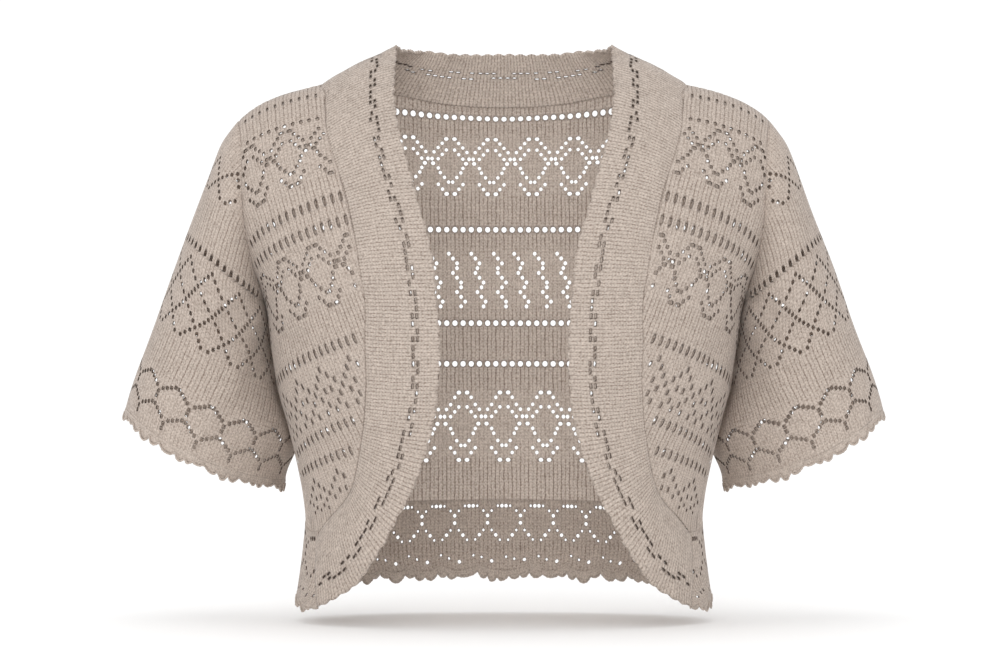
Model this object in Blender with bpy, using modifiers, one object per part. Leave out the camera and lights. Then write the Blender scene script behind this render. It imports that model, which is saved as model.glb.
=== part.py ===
"""Open-front knitted shrug with lace panels, as a set of hollow cloth walls in its worn form.

Frame: metres, +Z up, +X to the wearer's left, +Y to the wearer's back. The origin is the middle of the
shoulder yoke, level with the shoulder seams, where the wearer holds the garment up.
Each knitted piece is an open surface laid out in courses and given its thickness by Solidify.
The tables are in millimetres.
"""

import math
from typing import Callable, NamedTuple

import bpy
from mathutils import Vector

MM = 0.001
WALL = 2.0  # thickness of the lace knit
BAND_WALL = 2.6  # thickness of the ribbed band
EDGING_WALL = 1.6  # thickness of the crocheted edging
SEAM_GAP = 0.32  # clear space left between two joined pieces
TIP_GAP = 4.8  # how far the sleeve's first course stops short of the armhole's curve at the shoulder tip
EDGING_DEPTH = 7.0  # how far the crocheted edging stands below the hem and the cuffs
FRONT_FULLNESS = 2.2  # superellipse power of the front half of a horizontal section
BACK_FULLNESS = 2.4  # and of the back half
ARMHOLE_TOP = -17.0  # height of the shoulder tip
ARMHOLE_FOOT = -162.0  # height of the underarm point
ARMHOLE_FRONT = 44.0  # how far the armhole reaches to the front
ARMHOLE_BACK = 46.0  # and to the back
FRONT_FOOT = -343.0  # height of the foot of the front panel, at the band
BAND_FOOT = -401.0  # height of the lower end of the band
ARMHOLE_ROWS = 9  # courses that end on the armhole, on the back, the fronts and the sleeves alike
CUFF_SAG = 9.0  # how far the front and back of the cuff hang below the line between its sides
UNDERARM_TURN = 55.0  # drop over which the underarm line turns from the side seam to the back
UNDERARM_BACK = 38.0  # how far behind the middle the sleeve then lies against the torso
UNDERARM_CLEAR = 2.0  # how far it stays clear of the torso there
CAP_TURN = 70.0  # degrees that the sleeve's first course turns through on each side of the shoulder tip
CAP_ROUNDING = 1.5  # power by which the turn opens out to a half circle at the underarm
BACK_ENDS = (0.003, 0.9985)  # places of the back's first and last courses, just clear of their seams
FRONT_ENDS = (0.001, 0.995)  # and of a front's
HEM_PLACES = (0.008, 0.33, 0.66, 0.995)  # and of the courses of the hem border
EDGING_FLARE = 1.006  # how far the hem's edging flares
PRESS = 3.0  # how softly the sleeve flattens against the torso
CUFF_LIFTS = -262.0  # height at which the sleeve starts to stand away from the torso
CUFF_LIFT_RUN = 48.0  # drop over which it does so
CUFF_CLEAR = 23.0  # how far it stands away at the end
CLOTH = (0.56, 0.48, 0.41)


class TorsoSection(NamedTuple):
    """A horizontal section of the worn torso. Above the shoulder tip its half width is the ridge's."""

    height: float
    half_width: float
    front_depth: float
    back_depth: float
    seam_y: float


TORSO = (
    TorsoSection(12.8, 142.0, 32.0, 50.0, 0.0),
    TorsoSection(6.4, 169.0, 45.0, 54.0, 0.0),
    TorsoSection(0.0, 187.0, 50.0, 57.0, 0.0),
    TorsoSection(-6.4, 199.0, 55.0, 62.0, 0.0),
    TorsoSection(-17.0, 212.0, 65.0, 70.0, 0.0),
    TorsoSection(-30.0, 218.0, 76.0, 79.0, 0.0),
    TorsoSection(-53.0, 222.0, 92.0, 90.0, 0.0),
    TorsoSection(-90.0, 219.0, 110.0, 100.0, 0.0),
    TorsoSection(-132.0, 205.0, 121.5, 105.0, 0.0),
    TorsoSection(-162.0, 191.0, 123.5, 103.5, -2.0),
    TorsoSection(-200.0, 185.5, 120.5, 99.5, -8.0),
    TorsoSection(-234.0, 180.0, 113.0, 95.0, -14.0),
    TorsoSection(-256.0, 173.6, 110.0, 92.0, -18.0),
    TorsoSection(-290.0, 165.6, 104.0, 88.0, -24.0),
    TorsoSection(-317.0, 160.8, 101.0, 86.0, -29.0),
    TorsoSection(-336.0, 159.0, 99.0, 86.0, -32.0),
    TorsoSection(-356.0, 160.6, 97.0, 86.0, -36.0),
    TorsoSection(-392.0, 165.0, 95.0, 87.0, -42.0),
    TorsoSection(-412.0, 167.5, 94.0, 87.0, -45.0),
)


class BackCourse(NamedTuple):
    """A course of the back: its height at centre back and at its end on the shoulder, armhole or side."""

    middle: float
    end: float
    sweep: float


BACK = (
    BackCourse(-1.6, 12.8, 0.6),
    BackCourse(-16.0, 3.0, 1.0),
    BackCourse(-32.0, -17.0, 1.4),
    BackCourse(-62.0, -53.0, 1.6),
    BackCourse(-94.0, -90.0, 1.8),
    BackCourse(-133.0, -132.0, 2.0),
    BackCourse(-162.0, -162.0, 2.0),
    BackCourse(-200.0, -203.0, 2.0),
    BackCourse(-245.0, -255.0, 2.0),
    BackCourse(-285.0, -300.0, 2.0),
    BackCourse(-325.0, -344.0, 2.0),
)
HEM = (
    BackCourse(-325.0, -344.0, 2.0),
    BackCourse(-353.0, -374.0, 2.0),
    BackCourse(-381.0, -401.0, 2.0),
)


class FrontCourse(NamedTuple):
    """A course of a front: its height where it leaves the band and at its end on the shoulder or side."""

    band: float
    end: float
    sweep: float


FRONT = (
    FrontCourse(12.8, -17.0, 1.8),
    FrontCourse(-8.6, -31.0, 1.5),
    FrontCourse(-29.0, -53.0, 1.3),
    FrontCourse(-50.0, -82.0, 1.2),
    FrontCourse(-73.0, -112.0, 1.1),
    FrontCourse(-96.0, -134.0, 1.0),
    FrontCourse(-122.0, -162.0, 1.0),
    FrontCourse(-185.0, -226.0, 1.0),
    FrontCourse(-245.0, -279.0, 1.0),
    FrontCourse(-275.0, -298.0, 1.0),
    FrontCourse(-300.0, -318.0, 1.0),
    FrontCourse(-320.0, -331.0, 1.0),
    FrontCourse(-332.0, -338.5, 1.0),
    FrontCourse(FRONT_FOOT, -344.0, 1.0),
)


class BandStation(NamedTuple):
    """Where one rib of the band leaves its seam and reaches its free edge, and how far it bows out between."""

    behind: bool
    seam_x: float
    seam_z: float
    edge_x: float
    edge_y: float
    edge_z: float
    bow: float


BAND = (
    BandStation(True, 0.0, -1.6, 0.0, 48.0, 40.5, 2.0),
    BandStation(True, 48.0, 0.8, 35.5, 47.5, 40.6, 2.0),
    BandStation(True, 88.0, 7.7, 63.5, 42.0, 42.4, 2.5),
    BandStation(True, 125.0, 11.6, 80.7, 23.0, 43.0, 3.0),
    BandStation(True, 142.0, 12.8, 86.0, 0.0, 41.5, 3.0),
    BandStation(False, 143.0, 5.5, 86.6, -18.0, 31.0, 3.0),
    BandStation(False, 141.6, -8.6, 86.5, -38.0, 14.5, 3.5),
    BandStation(False, 139.1, -29.4, 85.6, -58.0, -6.0, 4.0),
    BandStation(False, 133.6, -48.2, 81.5, -76.0, -30.0, 4.5),
    BandStation(False, 126.8, -68.2, 74.5, -92.0, -55.0, 4.5),
    BandStation(False, 119.2, -96.5, 65.0, -109.0, -89.0, 5.0),
    BandStation(False, 114.3, -120.5, 57.0, -117.5, -117.0, 5.0),
    BandStation(False, 109.0, -153.0, 52.3, -120.5, -153.0, 5.0),
    BandStation(False, 108.0, -192.6, 49.4, -118.0, -194.0, 5.0),
    BandStation(False, 107.4, -229.0, 50.6, -113.0, -231.0, 5.0),
    BandStation(False, 109.0, -253.0, 55.0, -109.0, -258.0, 5.0),
    BandStation(False, 112.2, -274.7, 64.0, -104.0, -291.0, 5.0),
    BandStation(False, 116.4, -296.7, 79.5, -98.0, -324.0, 5.0),
    BandStation(False, 121.5, -311.5, 95.0, -92.0, -353.0, 4.5),
    BandStation(False, 128.5, -321.5, 112.0, -82.0, -377.5, 4.0),
    BandStation(False, 137.8, -331.5, 129.0, -68.0, -391.5, 3.0),
    BandStation(False, 146.5, FRONT_FOOT, 146.8, -50.0, BAND_FOOT, 2.0),
)
NECK_STATION = 4  # the station of the band at the neck point
BACK_COLUMNS = 11
HEM_COLUMNS = 15
FRONT_COLUMNS = 7
SLEEVE_COLUMNS = 20
BAND_RIBS = 4
NECK_SHARE = 0.2  # share of the back's courses over which they turn from the neck's line to level
CAP_SHARE = 0.5  # share of the sleeve's courses that lie in its cap


class SleeveCourse(NamedTuple):
    """A course of the sleeve, seen from the front: its outer point, and its foot at armhole or underarm."""

    outer_x: float
    outer_z: float
    foot_z: float
    centre_y: float
    half_depth: float


SLEEVE = (
    SleeveCourse(212.0, -17.0, -17.0, 0.0, 50.0),
    SleeveCourse(219.0, -25.6, -36.0, 0.0, 50.0),
    SleeveCourse(227.0, -38.0, -56.0, 0.0, 50.0),
    SleeveCourse(237.0, -64.0, -94.0, 0.0, 50.0),
    SleeveCourse(246.0, -89.0, -130.0, 1.0, 50.0),
    SleeveCourse(254.5, -111.5, ARMHOLE_FOOT, -1.0, 52.0),
    SleeveCourse(264.0, -136.0, -190.0, 1.0, 53.5),
    SleeveCourse(279.6, -179.0, -238.0, 6.0, 55.0),
    SleeveCourse(295.0, -218.0, -281.0, 11.0, 58.0),
    SleeveCourse(304.0, -246.5, -305.5, 14.0, 60.0),
)


Point = tuple[float, float, float]
Curve = Callable[[float], Point]


def smooth(keys: list[float], values: list[float], at: float) -> float:
    """Reads a table between its rows by a cubic curve with an even slope through each row."""
    if keys[0] > keys[-1]:
        keys, values = keys[::-1], values[::-1]
    at = min(max(at, keys[0]), keys[-1])
    steps = [b - a for a, b in zip(keys, keys[1:])]
    rises = [(b - a) / h for a, b, h in zip(values, values[1:], steps)]
    inner = [(r0 * h1 + r1 * h0) / (h0 + h1) for r0, r1, h0, h1 in zip(rises, rises[1:], steps, steps[1:])]
    slopes = [2 * rises[0] - inner[0], *inner, 2 * rises[-1] - inner[-1]] if inner else [rises[0]] * 2
    i = max(k for k, key in enumerate(keys[:-1]) if key <= at)
    h, t = steps[i], (at - keys[i]) / steps[i]
    return (
        values[i] * (1 + 2 * t) * (1 - t) ** 2
        + slopes[i] * h * t * (1 - t) ** 2
        + values[i + 1] * t * t * (3 - 2 * t)
        + slopes[i + 1] * h * t * t * (t - 1)
    )


def column(table: tuple, key: str, name: str, at: float) -> float:
    """The value of one named column of a table, where its key column is at."""
    return smooth([getattr(row, key) for row in table], [getattr(row, name) for row in table], at)


def torso(name: str, height: float) -> float:
    """A named size of the torso section at this height."""
    return column(TORSO, "height", name, height)


def power(base: float, exponent: float) -> float:
    """A power that keeps its sign, for superellipses."""
    return math.copysign(abs(base) ** exponent, base)


def torso_point(turn: float, height: float) -> Point:
    """Point on the wearer's left of the torso: turn is 1 at centre back, 0 at the side, -1 at centre front."""
    angle = turn * math.pi / 2
    fullness = BACK_FULLNESS if turn > 0 else FRONT_FULLNESS
    depth = torso("back_depth" if turn > 0 else "front_depth", height)
    across = torso("half_width", height) * power(math.cos(angle), 2 / fullness)
    return across, depth * power(math.sin(angle), 2 / fullness), height


def turn_at_y(y: float, height: float) -> float:
    """The turn at which the torso section passes this y."""
    fullness = BACK_FULLNESS if y > 0 else FRONT_FULLNESS
    share = min(abs(y) / torso("back_depth" if y > 0 else "front_depth", height), 1.0)
    return math.copysign(math.asin(share ** (fullness / 2)) / (math.pi / 2), y)


def turn_at_x(x: float, height: float, behind: bool) -> float:
    """The turn at which the front or back half of the torso section passes this x."""
    fullness = BACK_FULLNESS if behind else FRONT_FULLNESS
    share = min(x / torso("half_width", height), 1.0)
    turn = math.acos(share ** (fullness / 2)) / (math.pi / 2)
    return turn if behind else -turn


def eased(share: float) -> float:
    """A share from 0 to 1 that starts and ends gently."""
    share = min(max(share, 0.0), 1.0)
    return share * share * (3 - 2 * share)


def underarm_point(height: float) -> Point:
    """The sleeve's underarm line, which lies just clear of the torso's side, towards the back."""
    share = eased((ARMHOLE_FOOT - height) / UNDERARM_TURN)
    y = torso("seam_y", ARMHOLE_FOOT) * (1 - share) + UNDERARM_BACK * share
    lift = CUFF_CLEAR * eased((CUFF_LIFTS - height) / CUFF_LIFT_RUN)
    return clear_of_torso(0.0, y, height) + lift, y, height


def clear_of_torso(x: float, y: float, height: float) -> float:
    """The x of a point of the sleeve below the armhole, moved out softly where it would press into the torso."""
    share = eased((ARMHOLE_FOOT - height) / UNDERARM_TURN)
    fullness = BACK_FULLNESS if y > 0 else FRONT_FULLNESS
    passed = min(abs(y) / torso("back_depth" if y > 0 else "front_depth", height), 1.0)
    side = torso("half_width", height) * (1 - passed**fullness) ** (1 / fullness) + UNDERARM_CLEAR * share
    return (x + side + math.sqrt((x - side) ** 2 + (PRESS * share) ** 2)) / 2


def edge_turn(height: float, reach: float) -> float:
    """The turn of the shoulder seam, armhole or side seam at this height; reach is the armhole's depth."""
    passed = (ARMHOLE_TOP - height) / (ARMHOLE_TOP - ARMHOLE_FOOT)
    round_part = 2 * math.sqrt(passed * (1 - passed)) if 0 < passed < 1 else 0.0
    return turn_at_y(torso("seam_y", height) + reach * round_part, height)


def band_keys() -> list[float]:
    """A running length for the stations of the band, halfway between its seam and its free edge."""
    keys, last = [], None
    for station in BAND:
        seam = torso_point(turn_at_x(station.seam_x, station.seam_z, station.behind), station.seam_z)
        middle = tuple((a + b) / 2 for a, b in zip(seam, (station.edge_x, station.edge_y, station.edge_z)))
        keys.append(keys[-1] + math.dist(last, middle) if keys else 0.0)
        last = middle
    return keys


BAND_KEYS = band_keys()
BAND_TURNS = [turn_at_x(row.seam_x, row.seam_z, row.behind) for row in BAND]
SEAM_HEIGHTS = [row.seam_z for row in BAND]


def band_seam(along: float) -> Point:
    """The band's seam on the garment, along its running length from centre back."""
    return torso_point(smooth(BAND_KEYS, BAND_TURNS, along), smooth(BAND_KEYS, SEAM_HEIGHTS, along))


def band_edge(along: float) -> Point:
    """The band's free edge, along its running length from centre back."""
    return tuple(smooth(BAND_KEYS, [row[k] for row in BAND], along) for k in (3, 4, 5))


def band_turn_at_height(height: float) -> float:
    """The turn of the band's seam on the front at this height."""
    neck, end = BAND_KEYS[NECK_STATION], BAND_KEYS[-1]
    place = where(lambda s: smooth(BAND_KEYS, SEAM_HEIGHTS, neck + (end - neck) * s), height)
    return smooth(BAND_KEYS, BAND_TURNS, neck + (end - neck) * place)


def row_at(table: tuple, at: float) -> list[float]:
    """All columns of a table of courses, at from 0 on its first row to 1 on its last."""
    keys = [k / (len(table) - 1) for k in range(len(table))]
    return [smooth(keys, [row[k] for row in table], at) for k in range(len(table[0]))]


def back_height(course: list[float], turn: float) -> float:
    """The height of a course on the back, at this turn from centre back round to the side."""
    middle, end, sweep = course
    passed = min((1 - turn) / (1 - edge_turn(end, ARMHOLE_BACK)), 1.0)
    return middle + (end - middle) * passed**sweep


def neck_height(turn: float) -> float:
    """The height of the back neck seam at this turn."""
    neck = BAND_KEYS[NECK_STATION]
    place = where(lambda s: smooth(BAND_KEYS, BAND_TURNS, neck * s), turn)
    return smooth(BAND_KEYS, SEAM_HEIGHTS, neck * place)


def back_course(at: float) -> Curve:
    """A course of the back from centre back to its end; at runs from 0 at the neck to 1 at the foot."""
    course = row_at(BACK, at)
    last = edge_turn(course[1], ARMHOLE_BACK)
    off_neck = min(at / NECK_SHARE, 1.0)

    def point(s: float) -> Point:
        turn = 1 + (last - 1) * s
        height = back_height(course, turn)
        return torso_point(turn, neck_height(turn) * (1 - off_neck) + height * off_neck)

    return point


def hem_course(at: float) -> Curve:
    """A course of the hem border, from centre back round the side to the end of the band."""
    course = row_at(HEM, at)
    foot = band_turn_at_height(FRONT_FOOT)
    tip = turn_at_x(BAND[-1].edge_x, BAND_FOOT, False)
    last = foot + (tip - foot) * at

    def point(s: float) -> Point:
        turn = 1 + (last - 1) * s
        return torso_point(turn, back_height(course, turn))

    return point


def front_course(at: float) -> Curve:
    """A course of a front from the band to its end; at runs from 0 at the shoulder to 1 at the foot."""
    first, end, sweep = row_at(FRONT, at)
    start, last = band_turn_at_height(first), edge_turn(end, -ARMHOLE_FRONT)
    return lambda s: torso_point(start + (last - start) * s, first + (end - first) * s**sweep)


def sleeve_course(at: float) -> Curve:
    """A course of the sleeve round the arm, from front to back over the outside; at is 0 at the cap's top."""
    outer_x, outer_z, foot_z, centre_y, depth = row_at(SLEEVE, at)
    span = math.pi
    front = back = underarm_point(foot_z)
    if foot_z > ARMHOLE_FOOT:
        passed = (ARMHOLE_TOP - foot_z) / (ARMHOLE_TOP - ARMHOLE_FOOT)
        ring = math.acos(1 - 2 * passed) / math.pi
        span = math.radians(CAP_TURN + (180 - CAP_TURN) * ring**CAP_ROUNDING)
        front = torso_point(edge_turn(foot_z, -ARMHOLE_FRONT), foot_z)
        back = torso_point(edge_turn(foot_z, ARMHOLE_BACK), foot_z)
        centre_y = (front[1] + back[1]) / 2
        if span < math.radians(178):
            depth = (back[1] - front[1]) / 2 / math.sin(span)
    foot_x = (front[0] + back[0]) / 2
    share = 1 - math.cos(span)
    centre = (foot_x - outer_x * math.cos(span)) / share, (foot_z - outer_z * math.cos(span)) / share
    across = math.hypot(outer_x - foot_x, outer_z - foot_z)
    sag = CUFF_SAG * eased((at - CAP_SHARE) / (1 - CAP_SHARE)) / max(across, 1.0)
    skew = (front[1] + back[1]) / 2 - centre_y
    down = (outer_z - foot_z) * sag, (foot_x - outer_x) * sag

    def point(s: float) -> Point:
        angle = (2 * s - 1) * span
        end = front if s < 0.5 else back
        pull = (2 * s - 1) ** 4
        hang = math.sin(angle) ** 2
        x = centre[0] + (outer_x - centre[0]) * math.cos(angle) + (end[0] - foot_x) * pull + down[0] * hang
        z = centre[1] + (outer_z - centre[1]) * math.cos(angle) + down[1] * hang
        y = centre_y + depth * math.sin(angle) + skew * ((1 - math.cos(angle)) / 2) ** 2
        return (clear_of_torso(x, y, z) if foot_z < ARMHOLE_FOOT and x > 0 else x), y, z

    return point


def spaced(curve: Curve, count: int, start_gap: float = 0.0, end_gap: float = 0.0) -> list[Point]:
    """Points evenly spaced along a curve, set in from its two ends by the given gaps."""
    fine = 48
    points = [curve(k / fine) for k in range(fine + 1)]
    runs = [0.0]
    for a, b in zip(points, points[1:]):
        runs.append(runs[-1] + math.dist(a, b))
    start, end = start_gap, max(runs[-1] - end_gap, start_gap)
    result, k = [], 0
    for n in range(count + 1):
        want = start + (end - start) * n / count
        while k < fine - 1 and runs[k + 1] < want:
            k += 1
        t = (want - runs[k]) / max(runs[k + 1] - runs[k], 1e-9)
        result.append(tuple(a + (b - a) * t for a, b in zip(points[k], points[k + 1])))
    return result


def make_cloth(name: str, rows: list[list[Point]], wall: float, colour: tuple, mirror: bool = False,
               flip: bool = False) -> bpy.types.Object:
    """Makes one cloth piece: rows of points become a surface, which Solidify thickens inwards."""
    width = len(rows[0])
    vertices = [tuple(c * MM for c in point) for row in rows for point in row]
    faces = []
    for r in range(len(rows) - 1):
        for c in range(width - 1):
            a = r * width + c
            face = (a, a + width, a + width + 1, a + 1)
            faces.append(face[::-1] if flip else face)
    mesh = bpy.data.meshes.new(name)
    mesh.from_pydata(vertices, [], faces)
    mesh.shade_smooth()
    piece = bpy.data.objects.new(name, mesh)
    bpy.data.collections[COLLECTION].objects.link(piece)
    if mirror:
        half = piece.modifiers.new("Other half", "MIRROR")
        half.use_axis = (True, False, False)
        half.use_clip = True
        half.merge_threshold = 0.0001
    wall_maker = piece.modifiers.new("Cloth", "SOLIDIFY")
    wall_maker.thickness = wall * MM
    wall_maker.offset = -1.0
    mesh.materials.append(make_material(name, colour))
    return piece


def make_material(name: str, colour: tuple) -> bpy.types.Material:
    """A plain cloth material for one piece."""
    material = bpy.data.materials.new(name + "_yarn")
    material.use_nodes = True
    shader = material.node_tree.nodes["Principled BSDF"]
    shader.inputs["Base Color"].default_value = (*colour, 1.0)
    shader.inputs["Roughness"].default_value = 0.9
    shader.inputs["Metallic"].default_value = 0.0
    return material


def tinted(share: float) -> tuple:
    """The yarn's colour, a little lighter or darker."""
    return tuple(min(c * share, 1.0) for c in CLOTH)


def on_side(rows: list[list[Point]], side: int) -> list[list[Point]]:
    """The rows as they are for the wearer's left, side 1, or mirrored for the right, side -1."""
    return [[(x * side, y, z) for x, y, z in row] for row in rows]


def where(function: Callable[[float], float], target: float) -> float:
    """The place from 0 to 1 at which a function that only falls reaches the target."""
    low, high = 0.0, 1.0
    for _ in range(40):
        middle = (low + high) / 2
        low, high = (middle, high) if function(middle) > target else (low, middle)
    return (low + high) / 2


def armhole_heights(steps: list[float]) -> list[float]:
    """Heights round the armhole, from the shoulder tip at step 0 to the underarm at step ARMHOLE_ROWS."""
    turns = [math.pi * step / ARMHOLE_ROWS for step in steps]
    return [ARMHOLE_TOP + (ARMHOLE_FOOT - ARMHOLE_TOP) * (1 - math.cos(turn)) / 2 for turn in turns]


def course_places(table: tuple, column_number: int, above: int, below: int, start: float = 0.0) -> list[float]:
    """Places of the courses: some above the armhole, one at each armhole step from start, and some below."""
    heights = armhole_heights([start, *range(1, ARMHOLE_ROWS + 1)])
    at_armhole = [where(lambda at: row_at(table, at)[column_number], z) for z in heights]
    first, last = at_armhole[0], at_armhole[-1]
    top = [first * k / above for k in range(above)]
    foot = [last + (1 - last) * (k + 1) / below for k in range(below)]
    return top + at_armhole + foot


BACK_PLACES = course_places(BACK, 1, 4, 10)
FRONT_PLACES = course_places(FRONT, 1, 0, 10)
SLEEVE_PLACES = course_places(SLEEVE, 2, 0, 7, start=0.5)


def build_back() -> None:
    """The lace back, from the neck and shoulder seams to the hem border."""
    places = [BACK_ENDS[0]] + BACK_PLACES[1:-1] + [BACK_ENDS[1]]
    rows = [spaced(back_course(at), BACK_COLUMNS, 0.0, SEAM_GAP) for at in places]
    make_cloth("back", rows, WALL, tinted(0.94), mirror=True, flip=True)


def build_hem() -> None:
    """The lace border of the hem and the crocheted edging below it, from one band end to the other."""
    rows = [spaced(hem_course(at), HEM_COLUMNS, 0.0, SEAM_GAP) for at in HEM_PLACES]
    make_cloth("hem_border", rows, WALL, tinted(0.97), mirror=True, flip=True)
    edge = rows[-1]
    top = [(x, y, z - 2 * SEAM_GAP) for x, y, z in edge]
    foot = [(x * EDGING_FLARE, y * EDGING_FLARE, z - EDGING_DEPTH) for x, y, z in edge]
    make_cloth("hem_edging", [top, foot], EDGING_WALL, tinted(1.03), mirror=True, flip=True)


def build_front(side: int, name: str) -> None:
    """A lace front, from the shoulder seam to the hem border, between the band and the armhole."""
    places = [FRONT_ENDS[0]] + FRONT_PLACES[1:-1] + [FRONT_ENDS[1]]
    rows = [spaced(front_course(at), FRONT_COLUMNS, SEAM_GAP, SEAM_GAP) for at in places]
    make_cloth(name, on_side(rows, side), WALL, tinted(1.0), flip=side < 0)


def build_sleeve(side: int, name: str) -> None:
    """A flared short sleeve set into the armhole, with its crocheted edging."""
    gaps = [TIP_GAP] + [SEAM_GAP] * (len(SLEEVE_PLACES) - 1)
    rows = [spaced(sleeve_course(at), SLEEVE_COLUMNS, gap, gap) for at, gap in zip(SLEEVE_PLACES, gaps)]
    make_cloth("sleeve_" + name, on_side(rows, side), WALL, tinted(0.98), flip=side < 0)
    edge, inner = rows[-1], rows[-2]
    top, foot = [], []
    for near, far in zip(edge, inner):
        run = math.dist(near, far)
        step = [(a - b) / run for a, b in zip(near, far)]
        top.append(tuple(a + 2 * SEAM_GAP * s for a, s in zip(near, step)))
        foot.append(tuple(a + EDGING_DEPTH * s for a, s in zip(near, step)))
    make_cloth("cuff_edging_" + name, on_side([top, foot], side), EDGING_WALL, tinted(1.03), flip=side < 0)


def band_places() -> list[float]:
    """Running lengths of the band's ribs: one at each column of the back neck and each course of a front."""
    total, neck = BAND_KEYS[-1], BAND_KEYS[NECK_STATION]
    neck_turns = [turn_at_x(x, z, True) if x > 0 else 1.0 for x, _, z in spaced(back_course(0.0), BACK_COLUMNS)]
    behind = [neck * where(lambda s: smooth(BAND_KEYS, BAND_TURNS, s * neck), turn) for turn in neck_turns]
    heights = [row_at(FRONT, at)[0] for at in FRONT_PLACES[1:]]
    front = [neck + (total - neck) * where(lambda s: band_seam(neck + (total - neck) * s)[2], z) for z in heights]
    return [0.0] + behind[1:-1] + [neck] + front[:-1] + [total]


def build_band() -> None:
    """The ribbed band that edges the fronts and the back neck in one strip."""
    columns = []
    for along in band_places():
        columns.append(spaced(band_rib(along), BAND_RIBS, SEAM_GAP, 0.0))
    rows = [list(row) for row in zip(*columns)]
    make_cloth("band", rows, BAND_WALL, tinted(1.06), mirror=True)


def band_rib(along: float) -> Curve:
    """One rib of the band, from its seam to its free edge, bowed out square to the band."""
    seam, edge = band_seam(along), band_edge(along)
    before, after = (tuple((a + b) / 2 for a, b in zip(band_seam(at), band_edge(at))) for at in (along - 1, along + 1))
    across = Vector(edge) - Vector(seam)
    out = across.cross(Vector(after) - Vector(before)).normalized()
    bow = smooth(BAND_KEYS, [row.bow for row in BAND], along)
    return lambda s: tuple(Vector(seam) + across * s + out * (bow * math.sin(math.pi * s)))


COLLECTION = "knitted_shrug"


def main() -> None:
    """Clears the scene and builds every piece of the shrug."""
    for leftover in list(bpy.data.objects):
        bpy.data.objects.remove(leftover, do_unlink=True)
    bpy.context.scene.collection.children.link(bpy.data.collections.new(COLLECTION))
    build_back()
    build_hem()
    build_band()
    for side, name in ((1, "left"), (-1, "right")):
        build_front(side, "front_" + name)
        build_sleeve(side, name)


main()
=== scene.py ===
"""Looks of the knitted shrug: lace panels, ribbed band, crocheted edging, floor, light and camera.

Lengths are millimetres until a mesh is made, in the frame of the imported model: +X to the wearer's left,
+Y to the wearer's back, +Z up. Every knitted panel is laid out stitch by stitch, in courses (v, downwards)
and wales (u, sideways), on the same worn form as its solid, with its eyelets cut as real holes.
"""

import logging
import math
from dataclasses import dataclass, field
from enum import Enum
from typing import Callable, NamedTuple

import bpy
import numpy as np
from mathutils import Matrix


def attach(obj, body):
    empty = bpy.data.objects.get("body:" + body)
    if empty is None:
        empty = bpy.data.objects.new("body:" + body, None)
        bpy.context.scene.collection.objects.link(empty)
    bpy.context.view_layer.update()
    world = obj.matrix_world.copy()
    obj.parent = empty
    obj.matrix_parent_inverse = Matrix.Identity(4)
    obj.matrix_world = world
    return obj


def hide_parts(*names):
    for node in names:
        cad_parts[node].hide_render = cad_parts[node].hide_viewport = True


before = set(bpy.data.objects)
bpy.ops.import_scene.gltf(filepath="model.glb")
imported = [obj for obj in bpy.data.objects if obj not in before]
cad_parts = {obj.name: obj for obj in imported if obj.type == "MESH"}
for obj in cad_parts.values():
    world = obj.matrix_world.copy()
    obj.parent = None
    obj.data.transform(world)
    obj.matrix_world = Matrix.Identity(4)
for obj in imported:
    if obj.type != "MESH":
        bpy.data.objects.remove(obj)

LOG = logging.getLogger("shrug")
MM = 0.001
WALE = 1.7  # stitch width of the lace knit
COURSE = 2.0  # stitch height of the lace knit
LACE_WALL = 1.0  # thickness of the lace panels
BAND_WALL = 2.2  # thickness of the ribbed band
EDGING_WALL = 1.5  # thickness of the crocheted edging
FRONT_FULLNESS = 2.2  # superellipse power of the torso's front half, 2 for a plain ellipse
BACK_FULLNESS = 2.4  # the same for its back half
ARMHOLE_TOP = -17.0  # height of the top of the armhole
ARMHOLE_FOOT = -162.0  # height of the foot of the armhole
ARMHOLE_FRONT = 44.0  # how far the armhole reaches to the front of the side
ARMHOLE_BACK = 46.0  # how far it reaches behind the side
FRONT_FOOT = -343.0  # height of the front's lowest point, where the band ends
BAND_FOOT = -401.0  # height of the band's tips
NECK_SHARE = 0.2  # share of the back over which its courses leave the curve of the neck
CAP_SHARE = 0.5  # share of the sleeve above which its courses don't sag
CAP_TURN = 70.0  # half turn, in degrees, of the sleeve's first course over the shoulder
CAP_ROUNDING = 1.5  # how late the courses close to a full ring, as a power
NEARLY_ROUND = 178.0  # half turn, in degrees, past which a course has the ring's own depth
CUFF_SAG = 9.0  # how far the cuff hangs in a soft curve
END_EASE = 4  # power that keeps the pull to the armhole at a course's two ends
FINE_STEPS = 2000  # steps for reading the band's seam by height or by turn
UNDERARM_TURN = 55.0  # height over which the sleeve turns away from the armhole
UNDERARM_BACK = 38.0  # how far behind the side the underarm line then lies
UNDERARM_CLEAR = 2.0  # gap between the sleeve and the torso below the armhole
PRESS = 3.0  # softness of that gap's start
CUFF_LIFTS = -262.0  # height at which the cuff starts to stand off the body
CUFF_LIFT_RUN = 48.0  # height over which it comes off
CUFF_CLEAR = 23.0  # how far it stands off
NECK_STATION = 4  # the band's station at the shoulder seam

Array = np.ndarray
Course = Callable[[Array], Array]


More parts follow.
